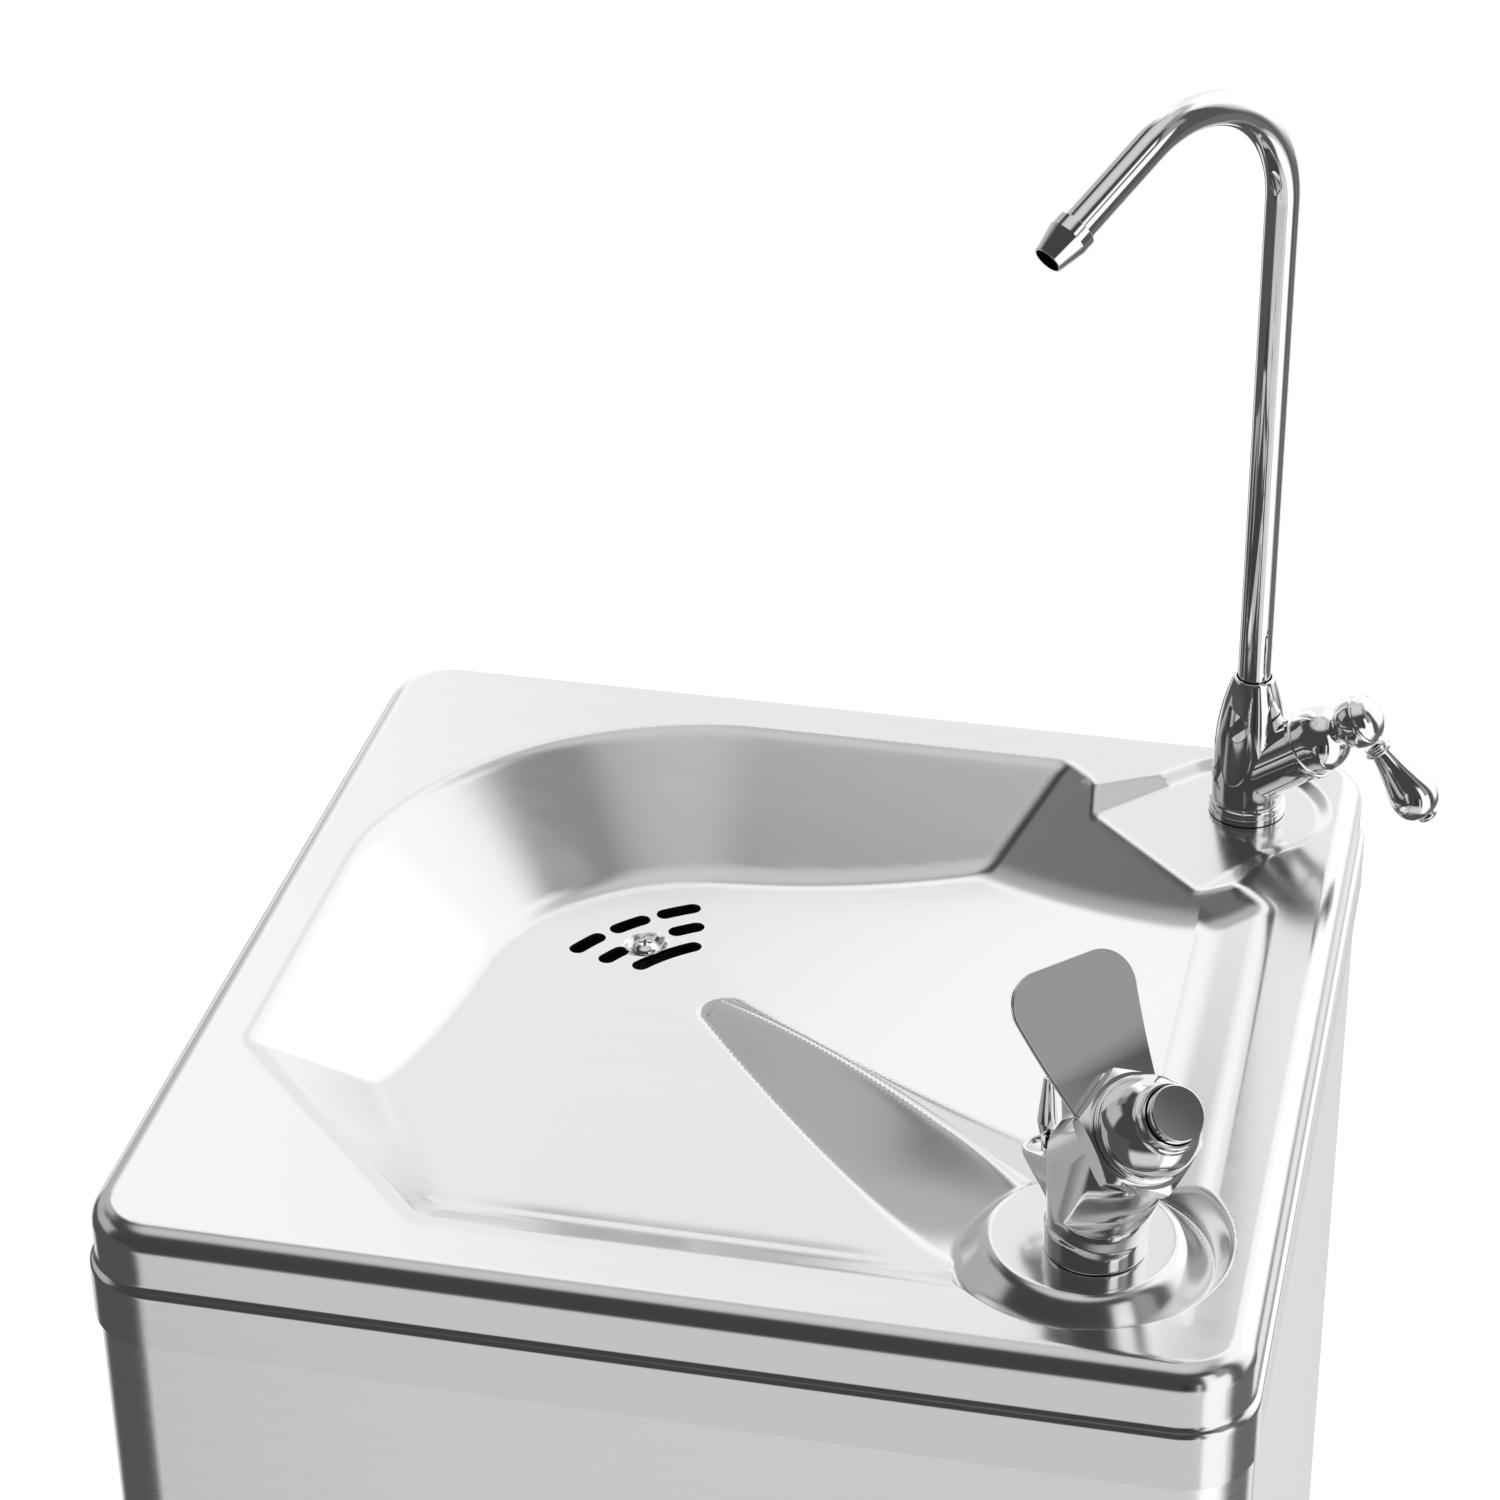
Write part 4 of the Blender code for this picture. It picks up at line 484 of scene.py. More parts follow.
def pressed_skin(x, y, inner_x, inner_y, inset):
    """One face of the sheet, inset below the outer one: its points, its quads and its lowest ring."""
    nx, ny = x.shape
    normals = basin_normals(x, y)
    deck = (np.stack([x, y, -basin_depth(x, y)], axis=-1) - inset * normals).reshape(-1, 3)
    index = np.arange(nx * ny).reshape(nx, ny)
    quads = [np.stack([index[:-1, :-1], index[1:, :-1], index[1:, 1:], index[:-1, 1:]], axis=-1).reshape(-1, 4)]
    rim = np.concatenate([index[:-1, 0], index[-1, :-1], index[:0:-1, -1], index[0, :0:-1]])
    rim_x, rim_y = x.reshape(-1)[rim], y.reshape(-1)[rim]
    from_x = np.sign(rim_x) * np.maximum(np.abs(rim_x) - inner_x, 0)
    from_y = np.sign(rim_y) * np.maximum(np.abs(rim_y) - inner_y, 0)
    length = np.maximum(np.hypot(from_x, from_y), 1e-9)
    out_x, out_y = from_x / length, from_y / length
    points, last, count = [deck], rim, len(deck)
    for out, height in edge_profile():
        out -= inset * min(out / EDGE_ROLL, 1)
        height = max(height - inset * max(1 - out / EDGE_ROLL, 0), SKIRT_FOOT)
        points.append(np.stack([rim_x + out_x * out, rim_y + out_y * out, np.full(len(rim), height)], axis=-1))
        ring = count + np.arange(len(rim))
        quads.append(np.stack([last, ring, np.roll(ring, -1), np.roll(last, -1)], axis=-1))
        last, count = ring, count + len(rim)
    return np.concatenate(points), np.concatenate(quads), last


def set_top_normals(top, deck_x, deck_y):
    """Shades the upper face of the pressing with the normals of its own formula."""
    mesh = top.data
    mesh.shade_smooth()
    mesh.set_sharp_from_angle(angle=math.radians(50))
    points = np.empty(len(mesh.vertices) * 3)
    mesh.vertices.foreach_get("co", points)
    points = points.reshape(-1, 3)
    x, y, z = points[:, 0], points[:, 1], points[:, 2]
    exact = basin_normals(x, y)
    on_deck = (np.abs(x) < deck_x) & (np.abs(y) < deck_y) & (np.abs(z + basin_depth(x, y)) < 0.05 * MM)
    corners = np.empty(len(mesh.loops), dtype=np.int64)
    mesh.loops.foreach_get("vertex_index", corners)
    face_normals = np.empty(len(mesh.polygons) * 3)
    mesh.polygons.foreach_get("normal", face_normals)
    sizes = np.empty(len(mesh.polygons), dtype=np.int64)
    mesh.polygons.foreach_get("loop_total", sizes)
    facing = np.repeat(face_normals.reshape(-1, 3), sizes, axis=0)
    agrees = np.sum(facing * exact[corners], axis=1) > 0.5
    custom = np.where((on_deck[corners] & agrees)[:, None], exact[corners], 0)
    mesh.normals_split_custom_set(custom.tolist())


def slot_outline(radius, start, end, half_width):
    """A round-ended slot bent along a circle about the slot centre."""
    outer = corner_arc(0, 0, radius + half_width, start, end, 10)
    inner = corner_arc(0, 0, radius - half_width, end, start, 10)

    def cap(angle, first):
        middle = math.radians(angle)
        centre = radius * math.cos(middle), radius * math.sin(middle)
        return corner_arc(*centre, half_width, first, first + 180, 16)[1:-1]

    points = outer + cap(end, end) + inner + cap(start, start + 180)
    return [(SLOT_CENTRE[0] + x, SLOT_CENTRE[1] + y) for x, y in points]


def make_hole_cutter():
    """The drain slots, and the holes for the drain screw, the bubbler and the filler.

    Each row of slots is a radius about the slot centre, with the bearings in degrees where its slots start and end.
    """
    low, high = -50 * MM, 10 * MM
    bm = bmesh.new()
    rows = {74 * MM: [(144.7, 151.2), (131.3, 138.1), (117.8, 124.9)],
            63 * MM: [(144.4, 149.6), (119.3, 125.1)],
            52.5 * MM: [(123.7, 144.8)]}
    for radius, slots in rows.items():
        for start, end in slots:
            add_prism(bm, slot_outline(radius, start, end, SLOT_HALF), low, high)
    for (x, y), radius in ((DRAIN, 2.6 * MM), (BUBBLER, 7.6 * MM), ((FILLER.x, FILLER.y), 6.6 * MM)):
        add_prism(bm, corner_arc(x, y, radius, 0, 360, 48)[:-1], low, high)
    mesh = bpy.data.meshes.new("hole_cutter")
    bm.to_mesh(mesh)
    bm.free()
    return new_object("hole_cutter", mesh, at(MIDDLE.x, MIDDLE.y, DECK_Z))


def make_drain_screw():
    """A pan head with a cross recess, sunk in its dimple."""
    head = [(0, 0.9 * MM)] + flowing([(0.2 * MM, 0.9 * MM), (2.2 * MM, 0.6 * MM), (3.7 * MM, -0.1 * MM),
                                      (4.5 * MM, -1.0 * MM)], 6)
    head += [(4.6 * MM, -1.4 * MM), (2.2 * MM, -1.5 * MM), (2.2 * MM, -18 * MM), (0, -18 * MM)]
    screw = lathe("drain_screw_head", head, DRAIN_FRAME, 64)
    half, arm = 2.1 * MM, 0.42 * MM
    outline = [(half, -arm), (half, arm), (arm, arm), (arm, half), (-arm, half), (-arm, arm), (-half, arm),
               (-half, -arm), (-arm, -arm), (-arm, -half), (arm, -half), (arm, -arm)]
    turn = Matrix.Rotation(math.radians(8), 4, "Z")
    cross = prism("cross_recess", outline, -0.9 * MM, 3 * MM, DRAIN_FRAME @ turn)
    combine(screw, "DIFFERENCE", cross)
    finish_piece(screw, CHROME, CABINET, "chrome", "drain_screw")


# ---------------------------------------------------------------- the bubbler


def make_bubbler_body():
    """One casting: a round foot, the leaning barrel, and a web whose hollowed end is the nozzle's cup."""
    foot = rounded([(0, 12 * MM), (FOOT_RADIUS, 8.6 * MM, 0.8 * MM), (FOOT_RADIUS, 0.3 * MM, 0.25 * MM),
                    (7.3 * MM, 0.3 * MM), (7.3 * MM, -34 * MM), (0, -34 * MM)], 5)
    body = lathe("bubbler_casting", foot, BUBBLER_FRAME, 128)
    inward = BUBBLER_FRAME.inverted() @ BARREL_FRAME
    level = Matrix()
    barrel = wrap("bubbler_barrel", [(inward, BARREL_RADIUS, BARREL_END), (inward, BARREL_RADIUS, -4 * MM),
                                     (inward, 11 * MM, -8 * MM), (level, 12.4 * MM, 10 * MM),
                                     (level, BARREL_RADIUS, 5 * MM)])
    cup = at(CUP, 0, 0)
    web = wrap("bubbler_web", [(at(-3 * MM, 0, 0), 7.6 * MM, 5 * MM), (cup, CUP_RADIUS, 17 * MM),
                               (cup, CUP_RADIUS, 46 * MM), (at(-4 * MM, 0, 0), 6.9 * MM, 30 * MM),
                               (at(-2 * MM, 0, 0), CUP_RADIUS, 50 * MM)])
    combine(body, "UNION", barrel, web)
    rim = flowing([(-31 * MM, 18.2 * MM), (-23.4 * MM, 19.9 * MM), (-15.2 * MM, 23.3 * MM), (-10.6 * MM, 28 * MM),
                   (-8.7 * MM, 33.5 * MM), (-8.2 * MM, 40 * MM), (-9 * MM, 47 * MM), (-10.5 * MM, 53 * MM)], 8)
    rim = [(-45 * MM, 17 * MM)] + rim + [(-12 * MM, 70 * MM), (-45 * MM, 70 * MM)]
    lip = prism("cup_lip_cutter", rim, -30 * MM, 30 * MM, BUBBLER_FRAME @ Matrix.Rotation(math.radians(90), 4, "X"))
    well = lathe("cup_well_cutter", [(0, CLEAR), (5.8 * MM, CLEAR), (5.3 * MM, CUP_FLOOR), (0, 13 * MM)],
                 BUBBLER_FRAME @ cup, 72)
    combine(body, "DIFFERENCE", lip, well, plug("barrel_bore_cutter", STEM_HOLE, 6 * MM, CLEAR, BARREL_FRAME))
    melt = body.modifiers.new("melt", "REMESH")
    melt.mode = "VOXEL"
    melt.voxel_size = 0.32 * MM
    ease = body.modifiers.new("ease", "SMOOTH")
    ease.iterations = 6
    apply_modifiers(body)
    return finish_piece(body, CHROME, CABINET, "chrome", "bubbler_body", degrees=80)


def wrap(name, circles):
    """A skin stretched round level circles, each given by a frame, a radius and a height, in the bubbler's frame."""
    bm = bmesh.new()
    for place, radius, height in circles:
        ring = bmesh.ops.create_circle(bm, segments=96, radius=radius)["verts"]
        bmesh.ops.transform(bm, matrix=place @ at(0, 0, height), verts=ring)
    wrapped = bmesh.ops.convex_hull(bm, input=bm.verts)
    loose = [item for item in wrapped["geom_interior"] if isinstance(item, bmesh.types.BMVert)]
    bmesh.ops.delete(bm, geom=loose, context="VERTS")
    bmesh.ops.recalc_face_normals(bm, faces=bm.faces)
    mesh = bpy.data.meshes.new(name)
    bm.to_mesh(mesh)
    bm.free()
    return new_object(name, mesh, BUBBLER_FRAME)


def make_jet_nozzle():
    foot = CUP_FLOOR + 0.3 * MM
    profile = rounded([(0.6 * MM, 40 * MM), (0.7 * MM, 42 * MM), (1.4 * MM, 42 * MM, 0.2 * MM),
                       (2.9 * MM, 27.5 * MM, 0.4 * MM), (1.6 * MM, 20.5 * MM, 0.4 * MM), (1.6 * MM, foot), (0, foot),
                       (0, 40 * MM)], 4)
    nozzle = lathe("jet_spout", profile, BUBBLER_FRAME @ at(CUP, 0, 0), 48)
    finish_piece(nozzle, CHROME, CABINET, "chrome", "jet_nozzle")


def make_guard():
    """The plate behind the nut: round foot, straight sides, rounded shoulders, and a top that leans gently forward."""
    top, shoulder, foot = 50 * MM, 19.7 * MM, 11.2 * MM
    corner, taper = 10 * MM, 12
    bend, lean = 19 * MM, math.radians(8)
    outline = corner_arc(0, 0, foot, 180 + taper, 360 - taper, 32)
    outline += corner_arc(shoulder - corner, top - corner, corner, -taper, 90, 24)
    outline += corner_arc(corner - shoulder, top - corner, corner, 90, 180 + taper, 24)
    guard = prism("splash_guard", outline, GUARD_BACK, GUARD_FRONT, BARREL_FRAME)
    combine(guard, "DIFFERENCE", plug("guard_bore", STEM_HOLE, 0, CLEAR, BARREL_FRAME))
    bm = bmesh.new()
    bm.from_mesh(guard.data)
    sharp = [edge for edge in bm.edges if len(edge.link_faces) == 2 and edge.calc_face_angle() > math.radians(50)]
    bmesh.ops.bevel(bm, geom=sharp, offset=0.4 * MM, segments=4, profile=0.5, affect="EDGES", clamp_overlap=True)
    folds, fold_step = 12, 1.5 * MM
    for i in range(folds + 1):
        height = bend + i * fold_step
        everything = bm.verts[:] + bm.edges[:] + bm.faces[:]
        bmesh.ops.bisect_plane(bm, geom=everything, plane_co=(0, height, 0), plane_no=(0, 1, 0))
        above = [vert for vert in bm.verts if vert.co.y > height + 0.01 * MM]
        bmesh.ops.rotate(bm, verts=above, cent=(0, height, GUARD_FRONT),
                         matrix=Matrix.Rotation(lean / (folds + 1), 3, "X"))
    bm.to_mesh(guard.data)
    bm.free()
    finish_piece(guard, CHROME, CABINET, "chrome", "mouth_guard")


def make_nut():
    """A hexagon nut with turned chamfers on both faces."""
    across = 18.3 * MM
    nut = prism("bubbler_hex_nut", corner_arc(0, 0, across, 30, 390, 6)[:-1], NUT_BACK, NUT_FRONT, BARREL_FRAME)
    chamfer = [(0, NUT_FRONT), (15.9 * MM, NUT_FRONT), (18.6 * MM, NUT_FRONT - 1.5 * MM),
               (18.6 * MM, NUT_BACK + 1.0 * MM), (17.0 * MM, NUT_BACK), (0, NUT_BACK)]
    turned = lathe("nut_chamfer", chamfer, BARREL_FRAME, 128)
    combine(nut, "INTERSECT", turned)
    combine(nut, "DIFFERENCE", plug("nut_bore", STEM_HOLE, 0, CLEAR, BARREL_FRAME))
    soften_edges(nut, 0.15 * MM, 2, 12)
    finish_piece(nut, CHROME, CABINET, "chrome", "bubbler_nut")


def make_bonnet():
    """The domed cap that the push button runs in."""
    foot = NUT_FRONT + 0.3 * MM
    dome = ball_outline(DOME_CENTRE, DOME_RADIUS, 47, -2, 28)
    profile = rounded([(8.1 * MM, 43.2 * MM, 0.2 * MM), (9.1 * MM, 43.2 * MM, 0.5 * MM), (9.2 * MM, 41.2 * MM),
                       (8.8 * MM, 41.0 * MM), (8.8 * MM, 40.7 * MM), (9.4 * MM, 40.4 * MM, 0.2 * MM)], 5)
    profile += dome
    profile += rounded([(14.2 * MM, 28.2 * MM), (14.7 * MM, 28.0 * MM, 0.3 * MM), (14.7 * MM, foot, 0.2 * MM),
                        (8.8 * MM, foot), (8.8 * MM, 8 * MM), (5.4 * MM, 8 * MM), (5.4 * MM, 32 * MM),
                        (8.1 * MM, 32.5 * MM)], 5)
    bonnet = lathe("button_dome", profile, BARREL_FRAME, 128)
    finish_piece(bonnet, CHROME, CABINET, "chrome", "button_bonnet")


def make_button():
    profile = rounded([(0, BUTTON_FACE), (7.76 * MM, BUTTON_FACE, 0.45 * MM), (7.76 * MM, 36 * MM), (2 * MM, 36 * MM),
                       (2 * MM, 13 * MM), (0, 13 * MM)], 6)
    button = lathe("button_cap", profile, BARREL_FRAME, 96)
    finish_piece(button, CHROME, BUTTON, "chrome", "push_button")


# ---------------------------------------------------------------- the bottle filler


def make_faucet_body():
    foot = -PAD_DEPTH + 0.3 * MM
    outline = flowing([(6.6 * MM, 46.0 * MM), (8.2 * MM, 41 * MM), (9.7 * MM, 35 * MM), (10.9 * MM, 27 * MM),
                       (11.6 * MM, 14 * MM), (11.6 * MM, 3.4 * MM)], 8)
    profile = rounded([(0, COLLAR_Z), (6.3 * MM, COLLAR_Z, 0.3 * MM), outline[0]], 4) + outline[1:]
    profile += rounded([(11.2 * MM, 2.8 * MM), (11.2 * MM, 2.4 * MM), (12.0 * MM, 2.0 * MM, 0.25 * MM),
                        (12.0 * MM, 0.9 * MM, 0.25 * MM), (11.4 * MM, 0.6 * MM), (11.4 * MM, 0.2 * MM),
                        (12.2 * MM, -0.1 * MM, 0.3 * MM), (12.2 * MM, foot), (6.3 * MM, foot), (6.3 * MM, -36 * MM),
                        (0, -36 * MM)], 4)
    body = lathe("filler_body", profile, FILLER_FRAME, 128)
    branch = rounded([(0, 24 * MM), (10.4 * MM, 24 * MM, 0.2 * MM), (10.4 * MM, -6 * MM), (0, -6 * MM)], 4)
    combine(body, "UNION", lathe("valve_branch", branch, VALVE_FRAME, 128))
    socket = plug("spout_socket", SPOUT_RADIUS + SPOUT_CLEARANCE, COLLAR_Z - 12 * MM, 80 * MM, FILLER_FRAME)
    seat = plug("valve_seat", 7.2 * MM, 12.5 * MM, CLEAR, VALVE_FRAME)
    combine(body, "DIFFERENCE", socket, seat)
    soften_edges(body, 0.25 * MM, 3, 50)
    return finish_piece(body, CHROME, CABINET, "chrome", "faucet_body")


def make_spout():
    out = Vector((math.cos(SPOUT_YAW), math.sin(SPOUT_YAW), 0))
    up = Vector((0, 0, 1))
    route = [up * (COLLAR_Z - 11.5 * MM), up * SPOUT_BEND_Z]
    steps = 72
    for i in range(1, steps + 1):
        turn = SPOUT_BEND * i / steps
        route.append(up * (SPOUT_BEND_Z + SPOUT_BEND_RADIUS * math.sin(turn))
                     + out * SPOUT_BEND_RADIUS * (1 - math.cos(turn)))
    heading = out * math.sin(SPOUT_BEND) + up * math.cos(SPOUT_BEND)
    end = route[-1] + heading * SPOUT_RUN
    route.append(end)
    tube = sweep("swan_neck", route, SPOUT_RADIUS, FILLER_FRAME, 64)
    tip_frame = FILLER_FRAME @ frame_on(end, heading)
    combine(tube, "DIFFERENCE", plug("neck_bore", SPOUT_BORE, -14 * MM, 20 * MM, tip_frame, 48))
    finish_piece(tube, CHROME, SPOUT, "chrome", "spout_tube")
    profile = rounded([(4.1 * MM, 11 * MM), (4.6 * MM, 11 * MM, 0.12 * MM), (6.46 * MM, 2.3 * MM, 0.1 * MM),
                       (6.46 * MM, -1.8 * MM, 0.15 * MM), (SPOUT_RADIUS + 0.05 * MM, -1.9 * MM),
                       (SPOUT_RADIUS + 0.05 * MM, 0.3 * MM), (4.1 * MM, 0.3 * MM), (4.1 * MM, 2 * MM)], 4)
    tip = lathe("neck_collar", profile, tip_frame, 96)
    finish_piece(tip, CHROME, SPOUT, "chrome", "spout_tip")


def make_valve():
    dome = ball_outline(29 * MM, 10.6 * MM, 66, 0, 24)
    profile = [(2.6 * MM, dome[0][1])] + dome
    profile += rounded([(10.6 * MM, 26 * MM), (11.3 * MM, 25.9 * MM, 0.2 * MM), (11.3 * MM, 24.3 * MM, 0.2 * MM),
                        (6.9 * MM, 24.3 * MM), (6.9 * MM, 14 * MM), (2.6 * MM, 14 * MM)], 4)
    finish_piece(lathe("valve_dome", profile, VALVE_FRAME, 112), CHROME, CABINET, "chrome", "valve_bonnet")

    ball = HUB_DISTANCE
    cap_edge = ball + 3.2 * MM
    neck = 39.1 * MM
    hub = rounded([(0, cap_edge - 0.3 * MM), (7.5 * MM, cap_edge - 0.3 * MM, 0.2 * MM)], 3)
    hub += ball_outline(ball, HUB_RADIUS, 18, -55, 28)
    hub += rounded([(4.9 * MM, neck + 0.2 * MM), (5.2 * MM, neck - 0.1 * MM, 0.2 * MM), (4.6 * MM, neck - 0.5 * MM),
                    (2.3 * MM, neck - 0.5 * MM), (2.3 * MM, 16 * MM), (0, 16 * MM)], 3)
    finish_piece(lathe("lever_ball", hub, VALVE_FRAME, 96), CHROME, LEVER, "chrome", "lever_hub")

    crown = flowing([(0.2 * MM, ball + 7.7 * MM), (3.2 * MM, ball + 7.3 * MM), (5.6 * MM, ball + 6.1 * MM),
                     (7.2 * MM, ball + 4.5 * MM)], 6)
    cap = [(0, ball + 7.7 * MM)] + crown
    cap += rounded([(7.9 * MM, cap_edge + 0.6 * MM, 0.2 * MM), (7.9 * MM, cap_edge, 0.15 * MM), (0, cap_edge)], 3)
    finish_piece(lathe("lever_crown", cap, VALVE_FRAME, 96), CHROME, LEVER, "chrome", "lever_cap")

    level = LEVER_AXIS - VALVE_AXIS * LEVER_AXIS.dot(VALVE_AXIS)
    hub_point = VALVE_POINT + VALVE_AXIS * HUB_DISTANCE
    finial = flowing([(0.2 * MM, 39.5 * MM), (2.4 * MM, 39.2 * MM), (3.4 * MM, 38.1 * MM), (3.0 * MM, 37.1 * MM)], 5)
    pear = flowing([(3.2 * MM, 37.0 * MM), (5.0 * MM, 36.3 * MM), (6.8 * MM, 34.2 * MM), (7.6 * MM, 31 * MM),
                    (7.2 * MM, 27.4 * MM), (5.8 * MM, 22.6 * MM), (4.4 * MM, 17.8 * MM), (3.5 * MM, 13.6 * MM),
                    (3.3 * MM, 12.3 * MM)], 6)
    beads = flowing([(3.4 * MM, 12.2 * MM), (4.5 * MM, 11.7 * MM), (4.6 * MM, 11.0 * MM), (3.5 * MM, 10.4 * MM)], 4)
    beads += flowing([(3.5 * MM, 10.3 * MM), (4.0 * MM, 9.9 * MM), (3.9 * MM, 9.2 * MM), (3.2 * MM, 8.9 * MM)], 4)
    grip = [(0, 39.5 * MM)] + finial + pear + beads + [(0, 8.7 * MM)]
    handle = lathe("lever_grip", grip, frame_on(hub_point, level), 80)
    finish_piece(handle, CHROME, LEVER, "chrome", "lever_handle")


# ---------------------------------------------------------------- the cabinet's panels


def bent_sheet(name, line, low, high, thickness):
    """A folded sheet: an open line seen from above, raised from low to high, thickened to its left."""
    mesh = bpy.data.meshes.new(name)
    bm = bmesh.new()
    bottom = [bm.verts.new((x, y, low)) for x, y in line]
    edges = [bm.edges.new(pair) for pair in zip(bottom, bottom[1:])]
    lifted = bmesh.ops.extrude_edge_only(bm, edges=edges)
    top = [item for item in lifted["geom"] if isinstance(item, bmesh.types.BMVert)]
    bmesh.ops.translate(bm, vec=(0, 0, high - low), verts=top)
    bmesh.ops.recalc_face_normals(bm, faces=bm.faces)
    bm.to_mesh(mesh)
    bm.free()
    obj = new_object(name, mesh, at(MIDDLE.x, MIDDLE.y, 0))
    sheet = obj.modifiers.new("sheet", "SOLIDIFY")
    sheet.thickness = thickness
    sheet.offset = -1
    sheet.use_even_offset = True
    return apply_modifiers(obj)


def make_panels():
    low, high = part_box("front_panel")
    half_x, half_y = (high.x - low.x) / 2, MIDDLE.y - low.y
    corner = BAND_CORNER - (TOP_WIDTH / 2 - half_x)
    seam = -half_y + 27 * MM
    flange, thickness, gap = 9 * MM, 1 * MM, 0.3 * MM
    round_x, round_y = half_x - corner, half_y - corner
    fold = 1.2 * MM
    front = [(-half_x + flange, seam), (-half_x + fold, seam)]
    front += corner_arc(-half_x + fold, seam - fold, fold, 90, 180, 4)
    front += corner_arc(-round_x, -round_y, corner, 180, 270, 20)
    front += corner_arc(round_x, -round_y, corner, 270, 360, 20)
    front += corner_arc(half_x - fold, seam - fold, fold, 0, 90, 4) + [(half_x - flange, seam)]
    panel = bent_sheet("front_cover", front, low.z, high.z, thickness)
    finish_piece(panel, BRUSHED, CABINET, "brushed_steel", "front_panel")
    back_return = 20 * MM
    for name, node, side in (("right_cover", "right_panel", 1), ("left_cover", "left_panel", -1)):
        start = seam + gap
        line = [(half_x - flange, start), (half_x - fold, start)]
        line += corner_arc(half_x - fold, start + fold, fold, 270, 360, 4)
        line += corner_arc(round_x, round_y, corner, 0, 90, 20)
        line += [(round_x - back_return, half_y), (round_x - back_return, half_y - flange)]
        if side < 0:
            line = [(-x, y) for x, y in line][::-1]
        finish_piece(bent_sheet(name, line, low.z, high.z, thickness), BRUSHED, CABINET, "brushed_steel", node)


# ---------------------------------------------------------------- materials


def node_material(name):
    material = bpy.data.materials.new(name)
    material.use_nodes = True
    return material, material.node_tree, material.node_tree.nodes["Principled BSDF"]


def grain(tree, scale, detail, stretch):
    """Noise in the object's own space, stretched along its axes. Returns its 0 to 1 output."""
    nodes, links = tree.nodes, tree.links
    place = nodes.new("ShaderNodeTexCoord")
    mapping = nodes.new("ShaderNodeMapping")
    mapping.inputs["Scale"].default_value = stretch
    noise = nodes.new("ShaderNodeTexNoise")
    noise.inputs["Scale"].default_value = scale
    noise.inputs["Detail"].default_value = detail
    links.new(place.outputs["Object"], mapping.inputs["Vector"])
    links.new(mapping.outputs["Vector"], noise.inputs["Vector"])
    return noise.outputs["Fac"]


def spread(tree, value, low, high):
    """Maps a 0 to 1 value on to low to high."""
    ramp = tree.nodes.new("ShaderNodeMapRange")
    ramp.inputs["From Min"].default_value = 0.3
    ramp.inputs["From Max"].default_value = 0.7
    ramp.inputs["To Min"].default_value = low
    ramp.inputs["To Max"].default_value = high
    tree.links.new(value, ramp.inputs["Value"])
    return ramp.outputs["Result"]


def tint(tree, value, dark, light):
    """Maps a 0 to 1 value on to a blend of two colours."""
    mix = tree.nodes.new("ShaderNodeMix")
    mix.data_type = "RGBA"
    mix.inputs[6].default_value = (*dark, 1)
    mix.inputs[7].default_value = (*light, 1)
    tree.links.new(value, mix.inputs[0])
    return mix.outputs[2]


def bump(tree, value, distance):
    node = tree.nodes.new("ShaderNodeBump")
    node.inputs["Distance"].default_value = distance
    node.inputs["Strength"].default_value = 1
    tree.links.new(value, node.inputs["Height"])
    return node.outputs["Normal"]


def surface(name, dark, light, rough_low, rough_high, scale, detail, stretch, relief=0.0):
    """A surface whose colour and roughness vary with one grain, with an optional fine relief."""
    material, tree, shader = node_material(name)
    pattern = grain(tree, scale, detail, stretch)
    tree.links.new(tint(tree, pattern, dark, light), shader.inputs["Base Color"])
    tree.links.new(spread(tree, pattern, rough_low, rough_high), shader.inputs["Roughness"])
    if relief:
        tree.links.new(bump(tree, pattern, relief), shader.inputs["Normal"])
    return material, shader


def metal(*settings):
    material, shader = surface(*settings)
    shader.inputs["Metallic"].default_value = 1
    return material


def solid(name, dark, light, roughness, scale, detail, relief):
    """A painted, moulded or rubber surface with a slight mottle."""
    return surface(name, dark, light, roughness * 0.9, roughness * 1.1, scale, detail, (1, 1, 1), relief)[0]


SATIN = metal("satin_steel", (0.80, 0.80, 0.80), (0.83, 0.83, 0.83), 0.15, 0.19, 60, 3, (0.25, 3, 3))
BRUSHED = metal("brushed_steel", (0.86, 0.86, 0.845), (1.0, 1.0, 0.985), 0.20, 0.27, 120, 5, (0.5, 0.5, 14), 4e-6)
CHROME = metal("polished_chrome", (0.86, 0.86, 0.865), (0.90, 0.90, 0.905), 0.02, 0.045, 90, 2, (1, 1, 1))
COPPER = metal("copper", (0.78, 0.40, 0.26), (0.88, 0.52, 0.36), 0.22, 0.38, 70, 5, (1, 1, 1))
BRASS = metal("brass", (0.72, 0.54, 0.24), (0.84, 0.67, 0.34), 0.2, 0.32, 60, 4, (1, 1, 1))
ZINC = metal("zinc_plate", (0.50, 0.51, 0.53), (0.66, 0.67, 0.68), 0.32, 0.5, 25, 6, (1, 1, 1))
RUBBER = solid("black_rubber", (0.012, 0.012, 0.012), (0.035, 0.035, 0.035), 0.75, 300, 4, 0.00006)
BLACK_PAINT = solid("black_paint", (0.014, 0.014, 0.016), (0.03, 0.03, 0.033), 0.4, 260, 4, 0.00004)
FOAM = solid("insulation_foam", (0.05, 0.05, 0.055), (0.10, 0.10, 0.11), 0.9, 400, 6, 0.0004)
GREY_PLASTIC = solid("grey_plastic", (0.045, 0.047, 0.045), (0.06, 0.062, 0.058), 0.5, 200, 4, 0.00004)
WHITE_PLASTIC = solid("white_plastic", (0.76, 0.76, 0.73), (0.84, 0.84, 0.81), 0.35, 150, 3, 0.00002)

